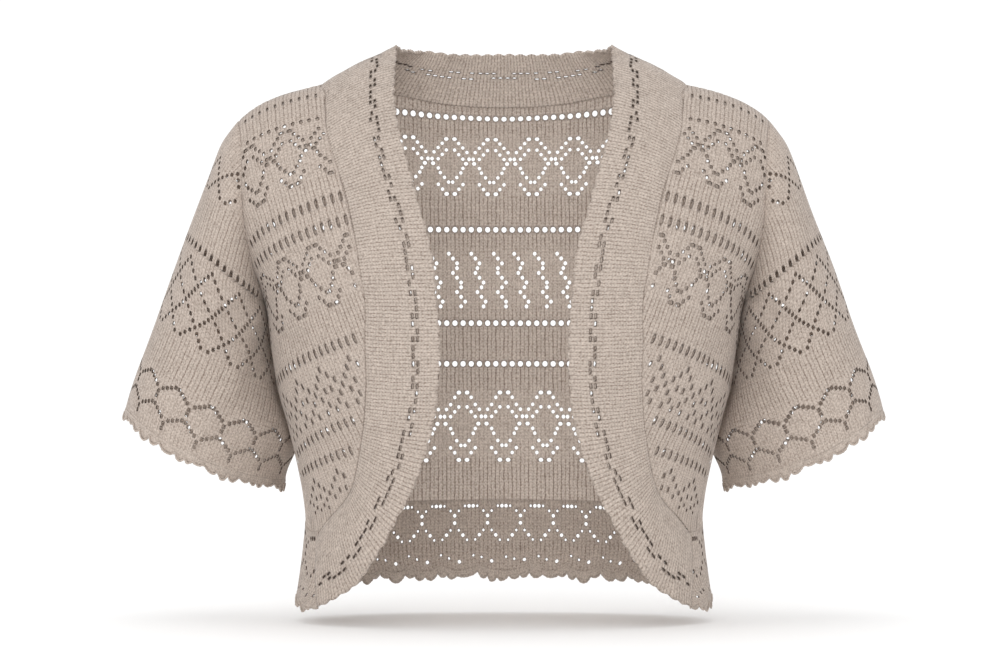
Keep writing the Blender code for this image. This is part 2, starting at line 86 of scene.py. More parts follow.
def hermite(keys: Array, values: Array, at: Array) -> Array:
    """Reads a table between its rows by a smooth cubic curve.

    Args:
        keys: The key column, rising.
        values: The column to read.
        at: Where to read it.

    Returns:
        One value for each place in at.
    """
    steps = np.diff(keys)
    rises = np.diff(values) / steps
    slopes = np.empty(len(keys))
    slopes[1:-1] = (rises[:-1] * steps[1:] + rises[1:] * steps[:-1]) / (steps[:-1] + steps[1:])
    slopes[0] = 2 * rises[0] - slopes[1] if len(keys) > 2 else rises[0]
    slopes[-1] = 2 * rises[-1] - slopes[-2] if len(keys) > 2 else rises[-1]
    at = np.clip(np.asarray(at, dtype=float), keys[0], keys[-1])
    i = np.clip(np.searchsorted(keys, at, side="right") - 1, 0, len(steps) - 1)
    h = steps[i]
    t = (at - keys[i]) / h
    return (
        values[i] * (1 + 2 * t) * (1 - t) ** 2
        + slopes[i] * h * t * (1 - t) ** 2
        + values[i + 1] * t * t * (3 - 2 * t)
        + slopes[i + 1] * h * t * t * (t - 1)
    )


def eased(share: Array | float) -> Array:
    """A share from 0 to 1 that starts and ends gently."""
    share = np.clip(share, 0.0, 1.0)
    return share * share * (3 - 2 * share)


class Wave(NamedTuple):
    """One slow wave along an edge: its height, its length for each radian of its turn, and its start."""

    height: float
    length: float
    start: float = 0.0


def wander(runs: Array, *waves: Wave) -> Array:
    """The sum of some waves at these running lengths, which never quite repeats."""
    return sum(wave.height * np.sin(runs / wave.length + wave.start) for wave in waves)


def signed_power(base: Array, exponent: float) -> Array:
    """A power that keeps its sign, for superellipses."""
    return np.sign(base) * np.abs(base) ** exponent


class TorsoSection(NamedTuple):
    """A horizontal section of the worn torso. Above the shoulder tip its half width is the ridge's."""

    height: float
    half_width: float
    front_depth: float
    back_depth: float
    seam_y: float


TORSO = (
    TorsoSection(12.8, 142.0, 32.0, 50.0, 0.0),
    TorsoSection(6.4, 169.0, 45.0, 54.0, 0.0),
    TorsoSection(0.0, 187.0, 50.0, 57.0, 0.0),
    TorsoSection(-6.4, 199.0, 55.0, 62.0, 0.0),
    TorsoSection(-17.0, 212.0, 65.0, 70.0, 0.0),
    TorsoSection(-30.0, 218.0, 76.0, 79.0, 0.0),
    TorsoSection(-53.0, 222.0, 92.0, 90.0, 0.0),
    TorsoSection(-90.0, 219.0, 110.0, 100.0, 0.0),
    TorsoSection(-132.0, 205.0, 121.5, 105.0, 0.0),
    TorsoSection(-162.0, 191.0, 123.5, 103.5, -2.0),
    TorsoSection(-200.0, 185.5, 120.5, 99.5, -8.0),
    TorsoSection(-234.0, 180.0, 113.0, 95.0, -14.0),
    TorsoSection(-256.0, 173.6, 110.0, 92.0, -18.0),
    TorsoSection(-290.0, 165.6, 104.0, 88.0, -24.0),
    TorsoSection(-317.0, 160.8, 101.0, 86.0, -29.0),
    TorsoSection(-336.0, 159.0, 99.0, 86.0, -32.0),
    TorsoSection(-356.0, 160.6, 97.0, 86.0, -36.0),
    TorsoSection(-392.0, 165.0, 95.0, 87.0, -42.0),
    TorsoSection(-412.0, 167.5, 94.0, 87.0, -45.0),
)


class LevelCourse(NamedTuple):
    """A course of the back or hem: its height at centre back and at its end, and how it sweeps between."""

    middle: float
    end: float
    sweep: float


BACK = (
    LevelCourse(-1.6, 12.8, 0.6),
    LevelCourse(-16.0, 3.0, 1.0),
    LevelCourse(-32.0, -17.0, 1.4),
    LevelCourse(-62.0, -53.0, 1.6),
    LevelCourse(-94.0, -90.0, 1.8),
    LevelCourse(-133.0, -132.0, 2.0),
    LevelCourse(-162.0, -162.0, 2.0),
    LevelCourse(-200.0, -203.0, 2.0),
    LevelCourse(-245.0, -255.0, 2.0),
    LevelCourse(-285.0, -300.0, 2.0),
    LevelCourse(-325.0, -344.0, 2.0),
)
HEM = (
    BACK[-1],
    LevelCourse(-353.0, -374.0, 2.0),
    LevelCourse(-381.0, -401.0, 2.0),
)
FRONT = (
    LevelCourse(12.8, -17.0, 1.8),
    LevelCourse(-8.6, -31.0, 1.5),
    LevelCourse(-29.0, -53.0, 1.3),
    LevelCourse(-50.0, -82.0, 1.2),
    LevelCourse(-73.0, -112.0, 1.1),
    LevelCourse(-96.0, -134.0, 1.0),
    LevelCourse(-122.0, -162.0, 1.0),
    LevelCourse(-185.0, -226.0, 1.0),
    LevelCourse(-245.0, -279.0, 1.0),
    LevelCourse(-275.0, -298.0, 1.0),
    LevelCourse(-300.0, -318.0, 1.0),
    LevelCourse(-320.0, -331.0, 1.0),
    LevelCourse(-332.0, -338.5, 1.0),
    LevelCourse(FRONT_FOOT, -344.0, 1.0),
)


class BandStation(NamedTuple):
    """Where one rib of the band leaves its seam and reaches its free edge, and how far it bows out between."""

    behind: bool
    seam_x: float
    seam_z: float
    edge_x: float
    edge_y: float
    edge_z: float
    bow: float


BAND = (
    BandStation(True, 0.0, -1.6, 0.0, 48.0, 40.5, 2.0),
    BandStation(True, 48.0, 0.8, 35.5, 47.5, 40.6, 2.0),
    BandStation(True, 88.0, 7.7, 63.5, 42.0, 42.4, 2.5),
    BandStation(True, 125.0, 11.6, 80.7, 23.0, 43.0, 3.0),
    BandStation(True, 142.0, 12.8, 86.0, 0.0, 41.5, 3.0),
    BandStation(False, 143.0, 5.5, 86.6, -18.0, 31.0, 3.0),
    BandStation(False, 141.6, -8.6, 86.5, -38.0, 14.5, 3.5),
    BandStation(False, 139.1, -29.4, 85.6, -58.0, -6.0, 4.0),
    BandStation(False, 133.6, -48.2, 81.5, -76.0, -30.0, 4.5),
    BandStation(False, 126.8, -68.2, 74.5, -92.0, -55.0, 4.5),
    BandStation(False, 119.2, -96.5, 65.0, -109.0, -89.0, 5.0),
    BandStation(False, 114.3, -120.5, 57.0, -117.5, -117.0, 5.0),
    BandStation(False, 109.0, -153.0, 52.3, -120.5, -153.0, 5.0),
    BandStation(False, 108.0, -192.6, 49.4, -118.0, -194.0, 5.0),
    BandStation(False, 107.4, -229.0, 50.6, -113.0, -231.0, 5.0),
    BandStation(False, 109.0, -253.0, 55.0, -109.0, -258.0, 5.0),
    BandStation(False, 112.2, -274.7, 64.0, -104.0, -291.0, 5.0),
    BandStation(False, 116.4, -296.7, 79.5, -98.0, -324.0, 5.0),
    BandStation(False, 121.5, -311.5, 95.0, -92.0, -353.0, 4.5),
    BandStation(False, 128.5, -321.5, 112.0, -82.0, -377.5, 4.0),
    BandStation(False, 137.8, -331.5, 129.0, -68.0, -391.5, 3.0),
    BandStation(False, 146.5, FRONT_FOOT, 146.8, -50.0, BAND_FOOT, 2.0),
)


class SleeveCourse(NamedTuple):
    """A course of the sleeve, seen from the front: its outer point, and its foot at armhole or underarm."""

    outer_x: float
    outer_z: float
    foot_z: float
    centre_y: float
    half_depth: float


SLEEVE = (
    SleeveCourse(212.0, -17.0, -17.0, 0.0, 50.0),
    SleeveCourse(219.0, -25.6, -36.0, 0.0, 50.0),
    SleeveCourse(227.0, -38.0, -56.0, 0.0, 50.0),
    SleeveCourse(237.0, -64.0, -94.0, 0.0, 50.0),
    SleeveCourse(246.0, -89.0, -130.0, 1.0, 50.0),
    SleeveCourse(254.5, -111.5, ARMHOLE_FOOT, -1.0, 52.0),
    SleeveCourse(264.0, -136.0, -190.0, 1.0, 53.5),
    SleeveCourse(279.6, -179.0, -238.0, 6.0, 55.0),
    SleeveCourse(295.0, -218.0, -281.0, 11.0, 58.0),
    SleeveCourse(304.0, -246.5, -305.5, 14.0, 60.0),
)


class Table:
    """A short table of named rows, read by a smooth curve along one of its columns."""

    def __init__(self, rows: tuple, key: str | None = None) -> None:
        """Keeps the rows, in rising order of the key column, or of their place from 0 to 1 without one.

        Args:
            rows: Its rows, named tuples of numbers.
            key: The name of the key column, if it has one.
        """
        cells = np.array([[float(value) for value in row] for row in rows])
        self.names = rows[0]._fields
        keys = cells[:, self.names.index(key)] if key else np.linspace(0, 1, len(rows))
        order = np.argsort(keys)
        self.keys, self.cells = keys[order], cells[order]

    def read(self, name: str, at: Array | float) -> Array:
        """The values of one named column where the key is at."""
        return hermite(self.keys, self.cells[:, self.names.index(name)], at)


class Form:
    """The worn form that every piece lies on, for the wearer's left; the right is its mirror image."""

    def __init__(self) -> None:
        """Reads the tables and lays out the band along its running length."""
        self.torso = Table(TORSO, "height")
        self.back, self.hem, self.front, self.sleeve = (Table(rows) for rows in (BACK, HEM, FRONT, SLEEVE))
        self.seam_turns = np.array([float(self.turn_at_x(row.seam_x, row.seam_z, row.behind)) for row in BAND])
        self.seam_heights = np.array([row.seam_z for row in BAND])
        edges = np.array([(row.edge_x, row.edge_y, row.edge_z) for row in BAND])
        self.edge_points = edges
        self.bows = np.array([row.bow for row in BAND])
        middles = (self.point(self.seam_turns, self.seam_heights) + edges) / 2
        self.band_keys = np.concatenate([[0.0], np.cumsum(np.linalg.norm(np.diff(middles, axis=0), axis=1))])

    def point(self, turn: Array, height: Array) -> Array:
        """Points on the torso: turn is 1 at centre back, 0 at the side and -1 at centre front.

        Args:
            turn: How far round the section: 1 at centre back, 0 at the side and -1 at centre front.
            height: The height of the section.

        Returns:
            The points.
        """
        turn, height = np.broadcast_arrays(np.asarray(turn, float), np.asarray(height, float))
        angle = turn * math.pi / 2
        behind = turn > 0
        fullness = np.where(behind, BACK_FULLNESS, FRONT_FULLNESS)
        depth = np.where(behind, self.torso.read("back_depth", height), self.torso.read("front_depth", height))
        x = self.torso.read("half_width", height) * signed_power(np.cos(angle), 2 / fullness)
        return np.stack([x, depth * signed_power(np.sin(angle), 2 / fullness), height], axis=-1)

    def turn_at_y(self, y: Array, height: Array) -> Array:
        """The turn at which the torso section at this height passes this y.

        Args:
            y: The place from front to back.
            height: The height of the section.

        Returns:
            The turn, on the half that y is on.
        """
        behind = np.asarray(y) > 0
        fullness = np.where(behind, BACK_FULLNESS, FRONT_FULLNESS)
        depth = np.where(behind, self.torso.read("back_depth", height), self.torso.read("front_depth", height))
        share = np.minimum(np.abs(y) / depth, 1.0)
        return np.sign(y) * np.arcsin(share ** (fullness / 2)) / (math.pi / 2)

    def clear_of_torso(self, x: Array, y: Array, height: Array) -> Array:
        """The x of points of the sleeve below the armhole, moved out softly where they would press in.

        Args:
            x: The place of the sleeve from the middle of the body.
            y: Its place from front to back.
            height: Its height.

        Returns:
            The x to use instead, the same wherever the sleeve hangs clear.
        """
        share = eased((ARMHOLE_FOOT - height) / UNDERARM_TURN)
        fullness = np.where(y > 0, BACK_FULLNESS, FRONT_FULLNESS)
        depth = np.where(y > 0, self.torso.read("back_depth", height), self.torso.read("front_depth", height))
        passed = np.minimum(np.abs(y) / depth, 1.0)
        side = self.torso.read("half_width", height) * (1 - passed**fullness) ** (1 / fullness)
        side = side + UNDERARM_CLEAR * share
        return (x + side + np.sqrt((x - side) ** 2 + (PRESS * share) ** 2)) / 2

    def side_point(self, height: float) -> Array:
        """The sleeve's underarm line, which lies just clear of the torso's side, towards the back.

        Args:
            height: The height of the point.

        Returns:
            The point.
        """
        share = float(eased((ARMHOLE_FOOT - height) / UNDERARM_TURN))
        y = float(self.torso.read("seam_y", ARMHOLE_FOOT)) * (1 - share) + UNDERARM_BACK * share
        lift = CUFF_CLEAR * float(eased((CUFF_LIFTS - height) / CUFF_LIFT_RUN))
        return np.array([float(self.clear_of_torso(0.0, y, height)) + lift, y, height])

    def turn_at_x(self, x: float, height: float, behind: bool) -> Array:
        """The turn at which the front or back half of the section passes this x.

        Args:
            x: The place from the middle of the body.
            height: The height of the section.
            behind: Whether it is the back half.

        Returns:
            The turn.
        """
        fullness = BACK_FULLNESS if behind else FRONT_FULLNESS
        share = np.minimum(x / self.torso.read("half_width", height), 1.0)
        turn = np.arccos(share ** (fullness / 2)) / (math.pi / 2)
        return turn if behind else -turn

    def edge_turn(self, height: Array, reach: float) -> Array:
        """The turn of the shoulder seam, armhole or side seam; reach is the armhole's signed depth.

        Args:
            height: The height on the seam.
            reach: The armhole's depth, above 0 behind and below 0 in front.

        Returns:
            The turn.
        """
        passed = np.clip((ARMHOLE_TOP - height) / (ARMHOLE_TOP - ARMHOLE_FOOT), 0.0, 1.0)
        arch = 2 * np.sqrt(passed * (1 - passed))
        return self.turn_at_y(self.torso.read("seam_y", height) + reach * arch, height)

    def band_seam(self, along: Array) -> Array:
        """Points of the band's seam at these running lengths from centre back."""
        turns = hermite(self.band_keys, self.seam_turns, along)
        return self.point(turns, hermite(self.band_keys, self.seam_heights, along))

    def band_edge(self, along: Array) -> Array:
        """Points of the band's free edge at these running lengths from centre back."""
        return np.stack([hermite(self.band_keys, self.edge_points[:, k], along) for k in range(3)], axis=-1)

    def band_turn(self, height: Array) -> Array:
        """The turn of the band's seam on the front at this height.

        Args:
            height: The height on the seam.

        Returns:
            The turn.
        """
        along = np.linspace(self.band_keys[NECK_STATION], self.band_keys[-1], FINE_STEPS)
        heights, turns = (hermite(self.band_keys, row, along) for row in (self.seam_heights, self.seam_turns))
        return np.interp(height, heights[::-1], turns[::-1])

    def neck_height(self, turn: Array) -> Array:
        """The height of the back neck seam at this turn.

        Args:
            turn: How far round the neck.

        Returns:
            The height.
        """
        along = np.linspace(0.0, self.band_keys[NECK_STATION], FINE_STEPS)
        heights, turns = (hermite(self.band_keys, row, along) for row in (self.seam_heights, self.seam_turns))
        return np.interp(turn, turns[::-1], heights[::-1])

    def level_height(self, table: Table, at: float, turn: Array) -> Array:
        """The height at each turn of a course of the back or of the hem border.

        Args:
            table: The rows of the back or the hem.
            at: The course, from 0 at the top to 1 at the foot.
            turn: How far round the body.

        Returns:
            The height at each turn.
        """
        middle, end, sweep = (float(table.read(name, at)) for name in ("middle", "end", "sweep"))
        side = float(self.edge_turn(end, ARMHOLE_BACK))
        passed = np.clip((1 - turn) / (1 - side), 0.0, 1.0)
        return middle + (end - middle) * passed**sweep

    def back_course(self, at: float) -> Course:
        """A course of the back from centre back to its end, from 0 at the neck to 1 at the border.

        Args:
            at: The course, from 0 at the neck to 1 at the hem border.

        Returns:
            The course.
        """
        last = float(self.edge_turn(float(self.back.read("end", at)), ARMHOLE_BACK))
        off_neck = min(at / NECK_SHARE, 1.0)

        def points(s: Array) -> Array:
            """Points of the course at these shares of its length.

            Args:
                s: Shares of the length, from 0 to 1.

            Returns:
                The points.
            """
            turn = 1 + (last - 1) * s
            height = self.level_height(self.back, at, turn)
            return self.point(turn, self.neck_height(turn) * (1 - off_neck) + height * off_neck)

        return points

    def hem_course(self, at: float) -> Course:
        """A course of the hem border from centre back round the side to the end of the band.

        Args:
            at: The course, from 0 at the top to 1 at the foot.

        Returns:
            The course.
        """
        foot = float(self.band_turn(FRONT_FOOT))
        tip = float(self.turn_at_x(BAND[-1].edge_x, BAND_FOOT, False))
        last = foot + (tip - foot) * at

        def points(s: Array) -> Array:
            """Points of the course at these shares of its length."""
            turn = 1 + (last - 1) * s
            return self.point(turn, self.level_height(self.hem, at, turn))

        return points

    def front_course(self, at: float) -> Course:
        """A course of a front from the band to its end, from 0 at the shoulder to 1 at the border.

        Args:
            at: The course, from 0 at the shoulder to 1 at the border.

        Returns:
            The course.
        """
        first, end, sweep = (float(self.front.read(name, at)) for name in ("middle", "end", "sweep"))
        start, last = float(self.band_turn(first)), float(self.edge_turn(end, -ARMHOLE_FRONT))
        return lambda s: self.point(start + (last - start) * s, first + (end - first) * s**sweep)

    def sleeve_course(self, at: float) -> Course:
        """A course of the sleeve round the arm, from front to back over the outside.

        Args:
            at: The course, from 0 at the shoulder to 1 at the cuff.

        Returns:
            The course.
        """
        names = ("outer_x", "outer_z", "foot_z", "centre_y", "half_depth")
        outer_x, outer_z, foot_z, centre_y, depth = (float(self.sleeve.read(name, at)) for name in names)
        span = math.pi
        front = back = self.side_point(foot_z)
        if foot_z > ARMHOLE_FOOT:
            passed = min(max((ARMHOLE_TOP - foot_z) / (ARMHOLE_TOP - ARMHOLE_FOOT), 0.0), 1.0)
            ring = math.acos(1 - 2 * passed) / math.pi
            span = math.radians(CAP_TURN + (180 - CAP_TURN) * ring**CAP_ROUNDING)
            front = self.point(self.edge_turn(foot_z, -ARMHOLE_FRONT), foot_z)
            back = self.point(self.edge_turn(foot_z, ARMHOLE_BACK), foot_z)
            centre_y = (front[1] + back[1]) / 2
            if span < math.radians(NEARLY_ROUND):
                depth = (back[1] - front[1]) / 2 / math.sin(span)
        foot_x = (front[0] + back[0]) / 2
        share = 1 - math.cos(span)
        centre_x = (foot_x - outer_x * math.cos(span)) / share
        centre_z = (foot_z - outer_z * math.cos(span)) / share
        across = max(math.hypot(outer_x - foot_x, outer_z - foot_z), 1.0)
        skew = (front[1] + back[1]) / 2 - centre_y
        sag = CUFF_SAG * float(eased((at - CAP_SHARE) / (1 - CAP_SHARE))) / across

        def points(s: Array) -> Array:
            """Points of the course at these shares of its way round.

            Args:
                s: Shares of the way round, from 0 in front to 1 behind.

            Returns:
                The points.
            """
            angle = (2 * s - 1) * span
            hang = np.sin(angle) ** 2 * sag
            end_x = np.where(s < 0.5, front[0], back[0]) - foot_x
            x = centre_x + (outer_x - centre_x) * np.cos(angle) + end_x * (2 * s - 1) ** END_EASE
            z = centre_z + (outer_z - centre_z) * np.cos(angle) + (foot_x - outer_x) * hang
            y = centre_y + depth * np.sin(angle) + skew * ((1 - np.cos(angle)) / 2) ** 2
            x = x + (outer_z - foot_z) * hang
            x = self.clear_of_torso(x, y, z) if foot_z < ARMHOLE_FOOT else x
            return np.stack([x, y, z], axis=-1)

        return points


class Eyelet(Enum):
    """Kinds of hole in the knit: (courses high, wales wide, half width, half height of the opening)."""

    DOT = (2, 2, 1.5, 1.65)
    BOLD = (2, 2, 1.6, 1.8)
    ROUND = (4, 4, 2.2, 2.4)
    WIDE = (2, 4, 2.05, 1.7)
    PAIR = (2, 3, 1.9, 1.7)
    SLOT = (6, 2, 1.45, 3.5)
    SLIT = (4, 2, 0.8, 2.1)
    TEAR = (4, 2, 1.05, 2.3)
    PIN = (2, 2, 1.0, 1.25)


class Hole(NamedTuple):
    """One hole of a chart: the course and wale of its middle, and its kind."""

    course: float
    wale: float
    kind: Eyelet


class Motif(NamedTuple):
    """A charted repeat: its wales, its courses, its holes from its middle wale, and how ribbed it is."""

    repeat: float
    courses: int
    holes: tuple
    ribbed: float = 0.0

    def taller(self, share: float) -> "Motif":
        """The same repeat, pulled longer down the cloth."""
        return self._replace(courses=round(self.courses * share),
                             holes=tuple(h._replace(course=h.course * share) for h in self.holes))


def mirrored(*holes: tuple) -> tuple:
    """The holes of a symmetric chart, from those of its right half."""
    both = [Hole(course, side * wale, kind) for course, wale, kind in holes for side in (1, -1)]
    return tuple(dict.fromkeys(both))


DIAMOND = Motif(20, 24, mirrored(
    (0, 2, Eyelet.WIDE), (2, 4, Eyelet.DOT), (4, 6, Eyelet.DOT), (6, 8, Eyelet.DOT),
    (5, 2, Eyelet.DOT), (7, 4, Eyelet.DOT), (9, 6, Eyelet.DOT), (9, 9, Eyelet.BOLD), (11, 8, Eyelet.PAIR),
    (13, 6, Eyelet.DOT), (15, 5, Eyelet.DOT), (17, 3, Eyelet.DOT), (19, 1.4, Eyelet.DOT),
    (20, 6, Eyelet.DOT), (22, 4, Eyelet.DOT), (24, 2, Eyelet.WIDE),
))
LATTICE = Motif(16, 16, mirrored(
    (0, 0, Eyelet.DOT), (2, 2, Eyelet.DOT), (4, 4, Eyelet.DOT), (6, 6, Eyelet.DOT), (8, 8, Eyelet.DOT),
    (10, 6, Eyelet.DOT), (12, 4, Eyelet.DOT), (14, 2, Eyelet.DOT),
))
ZIGZAG = Motif(10.5, 25, tuple(
    Hole(2 * step + 1, wale, Eyelet.BOLD)
    for step, wale in enumerate((-3, -1, 1, 0, -1, 1, 3, 2, 0, 2, 4, 3))
))
HEXAGON = Motif(16, 17, mirrored(
    (1, 1, Eyelet.DOT), (1, 3, Eyelet.PIN), (3, 6, Eyelet.PIN), (5, 8, Eyelet.DOT), (8, 8, Eyelet.DOT),
    (11, 6, Eyelet.PIN), (13, 4, Eyelet.DOT), (15, 2, Eyelet.PIN),
))
CELLS = Motif(18, 10, mirrored(
    (0, 1, Eyelet.DOT), (1, 3, Eyelet.DOT), (2, 5, Eyelet.DOT), (3, 7, Eyelet.DOT), (5, 9, Eyelet.BOLD),
    (7, 9, Eyelet.BOLD),
))
SCATTER = Motif(18, 22, mirrored(
    (2, 0, Eyelet.TEAR), (5, 3, Eyelet.TEAR), (8, 6, Eyelet.TEAR), (11, 9, Eyelet.TEAR),
    (14, 6, Eyelet.TEAR), (17, 3, Eyelet.TEAR), (11, 2, Eyelet.TEAR), (20, 0, Eyelet.TEAR), (20, 6, Eyelet.TEAR),
))
FAN = Motif(16, 8, (Hole(3, -6, Eyelet.DOT), Hole(1, 1, Eyelet.PIN), Hole(2, 5, Eyelet.PIN)))
PLAIN = Motif(40, 20, ())
EYELET_ROW = Motif(4, 4, (Hole(2, 0, Eyelet.ROUND),), 0.6)
DOT_ROW = Motif(4, 4, (Hole(2, 0, Eyelet.BOLD),), 0.6)
SLOT_ROW = Motif(4, 6, (Hole(3, 0, Eyelet.SLOT),), 0.6)
SLIT_ROW = Motif(4, 4, (Hole(2, 0, Eyelet.SLIT),), 0.6)


class Zone(NamedTuple):
    """A run of one motif on a panel: the height, on the panel's guide line, where its first course lies."""

    motif: Motif
    height: float
    shift: float = 0.0


class Fold(NamedTuple):
    """A soft trough (depth below 0) or ridge in the cloth, between two points of the form."""

    start: tuple
    end: tuple
    width: float
    depth: float


FOLDS = (
    Fold((-186, -45, -150), (-150, -98, -118), 9.0, -3.2),
    Fold((-188, -40, -168), (-158, -92, -160), 8.0, 2.0),
    Fold((-186, -42, -186), (-140, -103, -208), 11.0, -2.4),
    Fold((-178, -48, -232), (-132, -100, -252), 12.0, -1.8),
    Fold((186, -45, -150), (152, -96, -122), 10.0, -2.8),
    Fold((188, -40, -172), (150, -95, -170), 9.0, 1.8),
    Fold((186, -42, -196), (138, -103, -222), 12.0, -2.2),
    Fold((176, -48, -246), (130, -100, -262), 11.0, -1.9),
    Fold((-196, -30, -150), (-236, -48, -196), 8.0, -2.6),
    Fold((-194, -20, -176), (-232, -42, -262), 10.0, 2.0),
    Fold((196, -30, -150), (240, -48, -200), 9.0, -2.4),
    Fold((194, -20, -180), (236, -42, -258), 10.0, 1.8),
    Fold((-150, 84, -150), (-176, 44, -120), 11.0, -2.8),
    Fold((152, 84, -154), (178, 44, -124), 12.0, -2.5),
    Fold((-172, 50, -190), (-110, 92, -232), 14.0, -2.2),
    Fold((170, 52, -196), (104, 93, -240), 15.0, -2.4),
    Fold((-60, 92, -250), (-54, 88, -330), 16.0, -1.8),
    Fold((34, 94, -236), (40, 88, -322), 18.0, -1.6),
    Fold((-198, 34, -150), (-240, 62, -200), 9.0, -2.3),
    Fold((198, 34, -150), (242, 62, -206), 10.0, -2.5),
    Fold((-258, 68, -210), (-268, 72, -270), 12.0, -1.7),
    Fold((262, 68, -206), (270, 72, -272), 12.0, -1.9),
)


def fold_depth(points: Array) -> Array:
    """How far every fold lifts each point off the form.

    Args:
        points: Points on the form.

    Returns:
        A lift for each point, below 0 in a trough.
    """
    lift = np.zeros(len(points))
    for fold in FOLDS:
        start, end = np.array(fold.start, float), np.array(fold.end, float)
        run = end - start
        t = np.clip((points - start) @ run / (run @ run), 0.0, 1.0)
        away = np.linalg.norm(points - start - t[:, None] * run, axis=1)
        fade = np.sin(math.pi * np.clip(t * 0.86 + 0.07, 0, 1))
        lift += fold.depth * fade * np.exp(-((away / fold.width) ** 2))
    return lift


@dataclass
class Cloth:
    """A piece of knit as bare numbers: its points, each with its place in the knit, and its faces."""

    points: Array
    knit: Array
    edge: Array
    quads: Array
    triangles: Array
    # rim is 1 on the points round each eyelet's opening, where the relief fades and the yarn paints shade
    rim: Array

    def normals(self) -> Array:
        """One outward direction for each point, from the faces round it.

        Returns:
            The directions, each of length 1.
        """
        total = np.zeros_like(self.points)
        for faces in (self.quads, self.triangles):
            if not len(faces):
                continue
            a, b, c = (self.points[faces[:, k]] for k in (0, 1, 2))
            across = np.cross(b - a, c - a)
            for k in range(faces.shape[1]):
                np.add.at(total, faces[:, k], across)
        return total / np.maximum(np.linalg.norm(total, axis=1), 1e-9)[:, None]


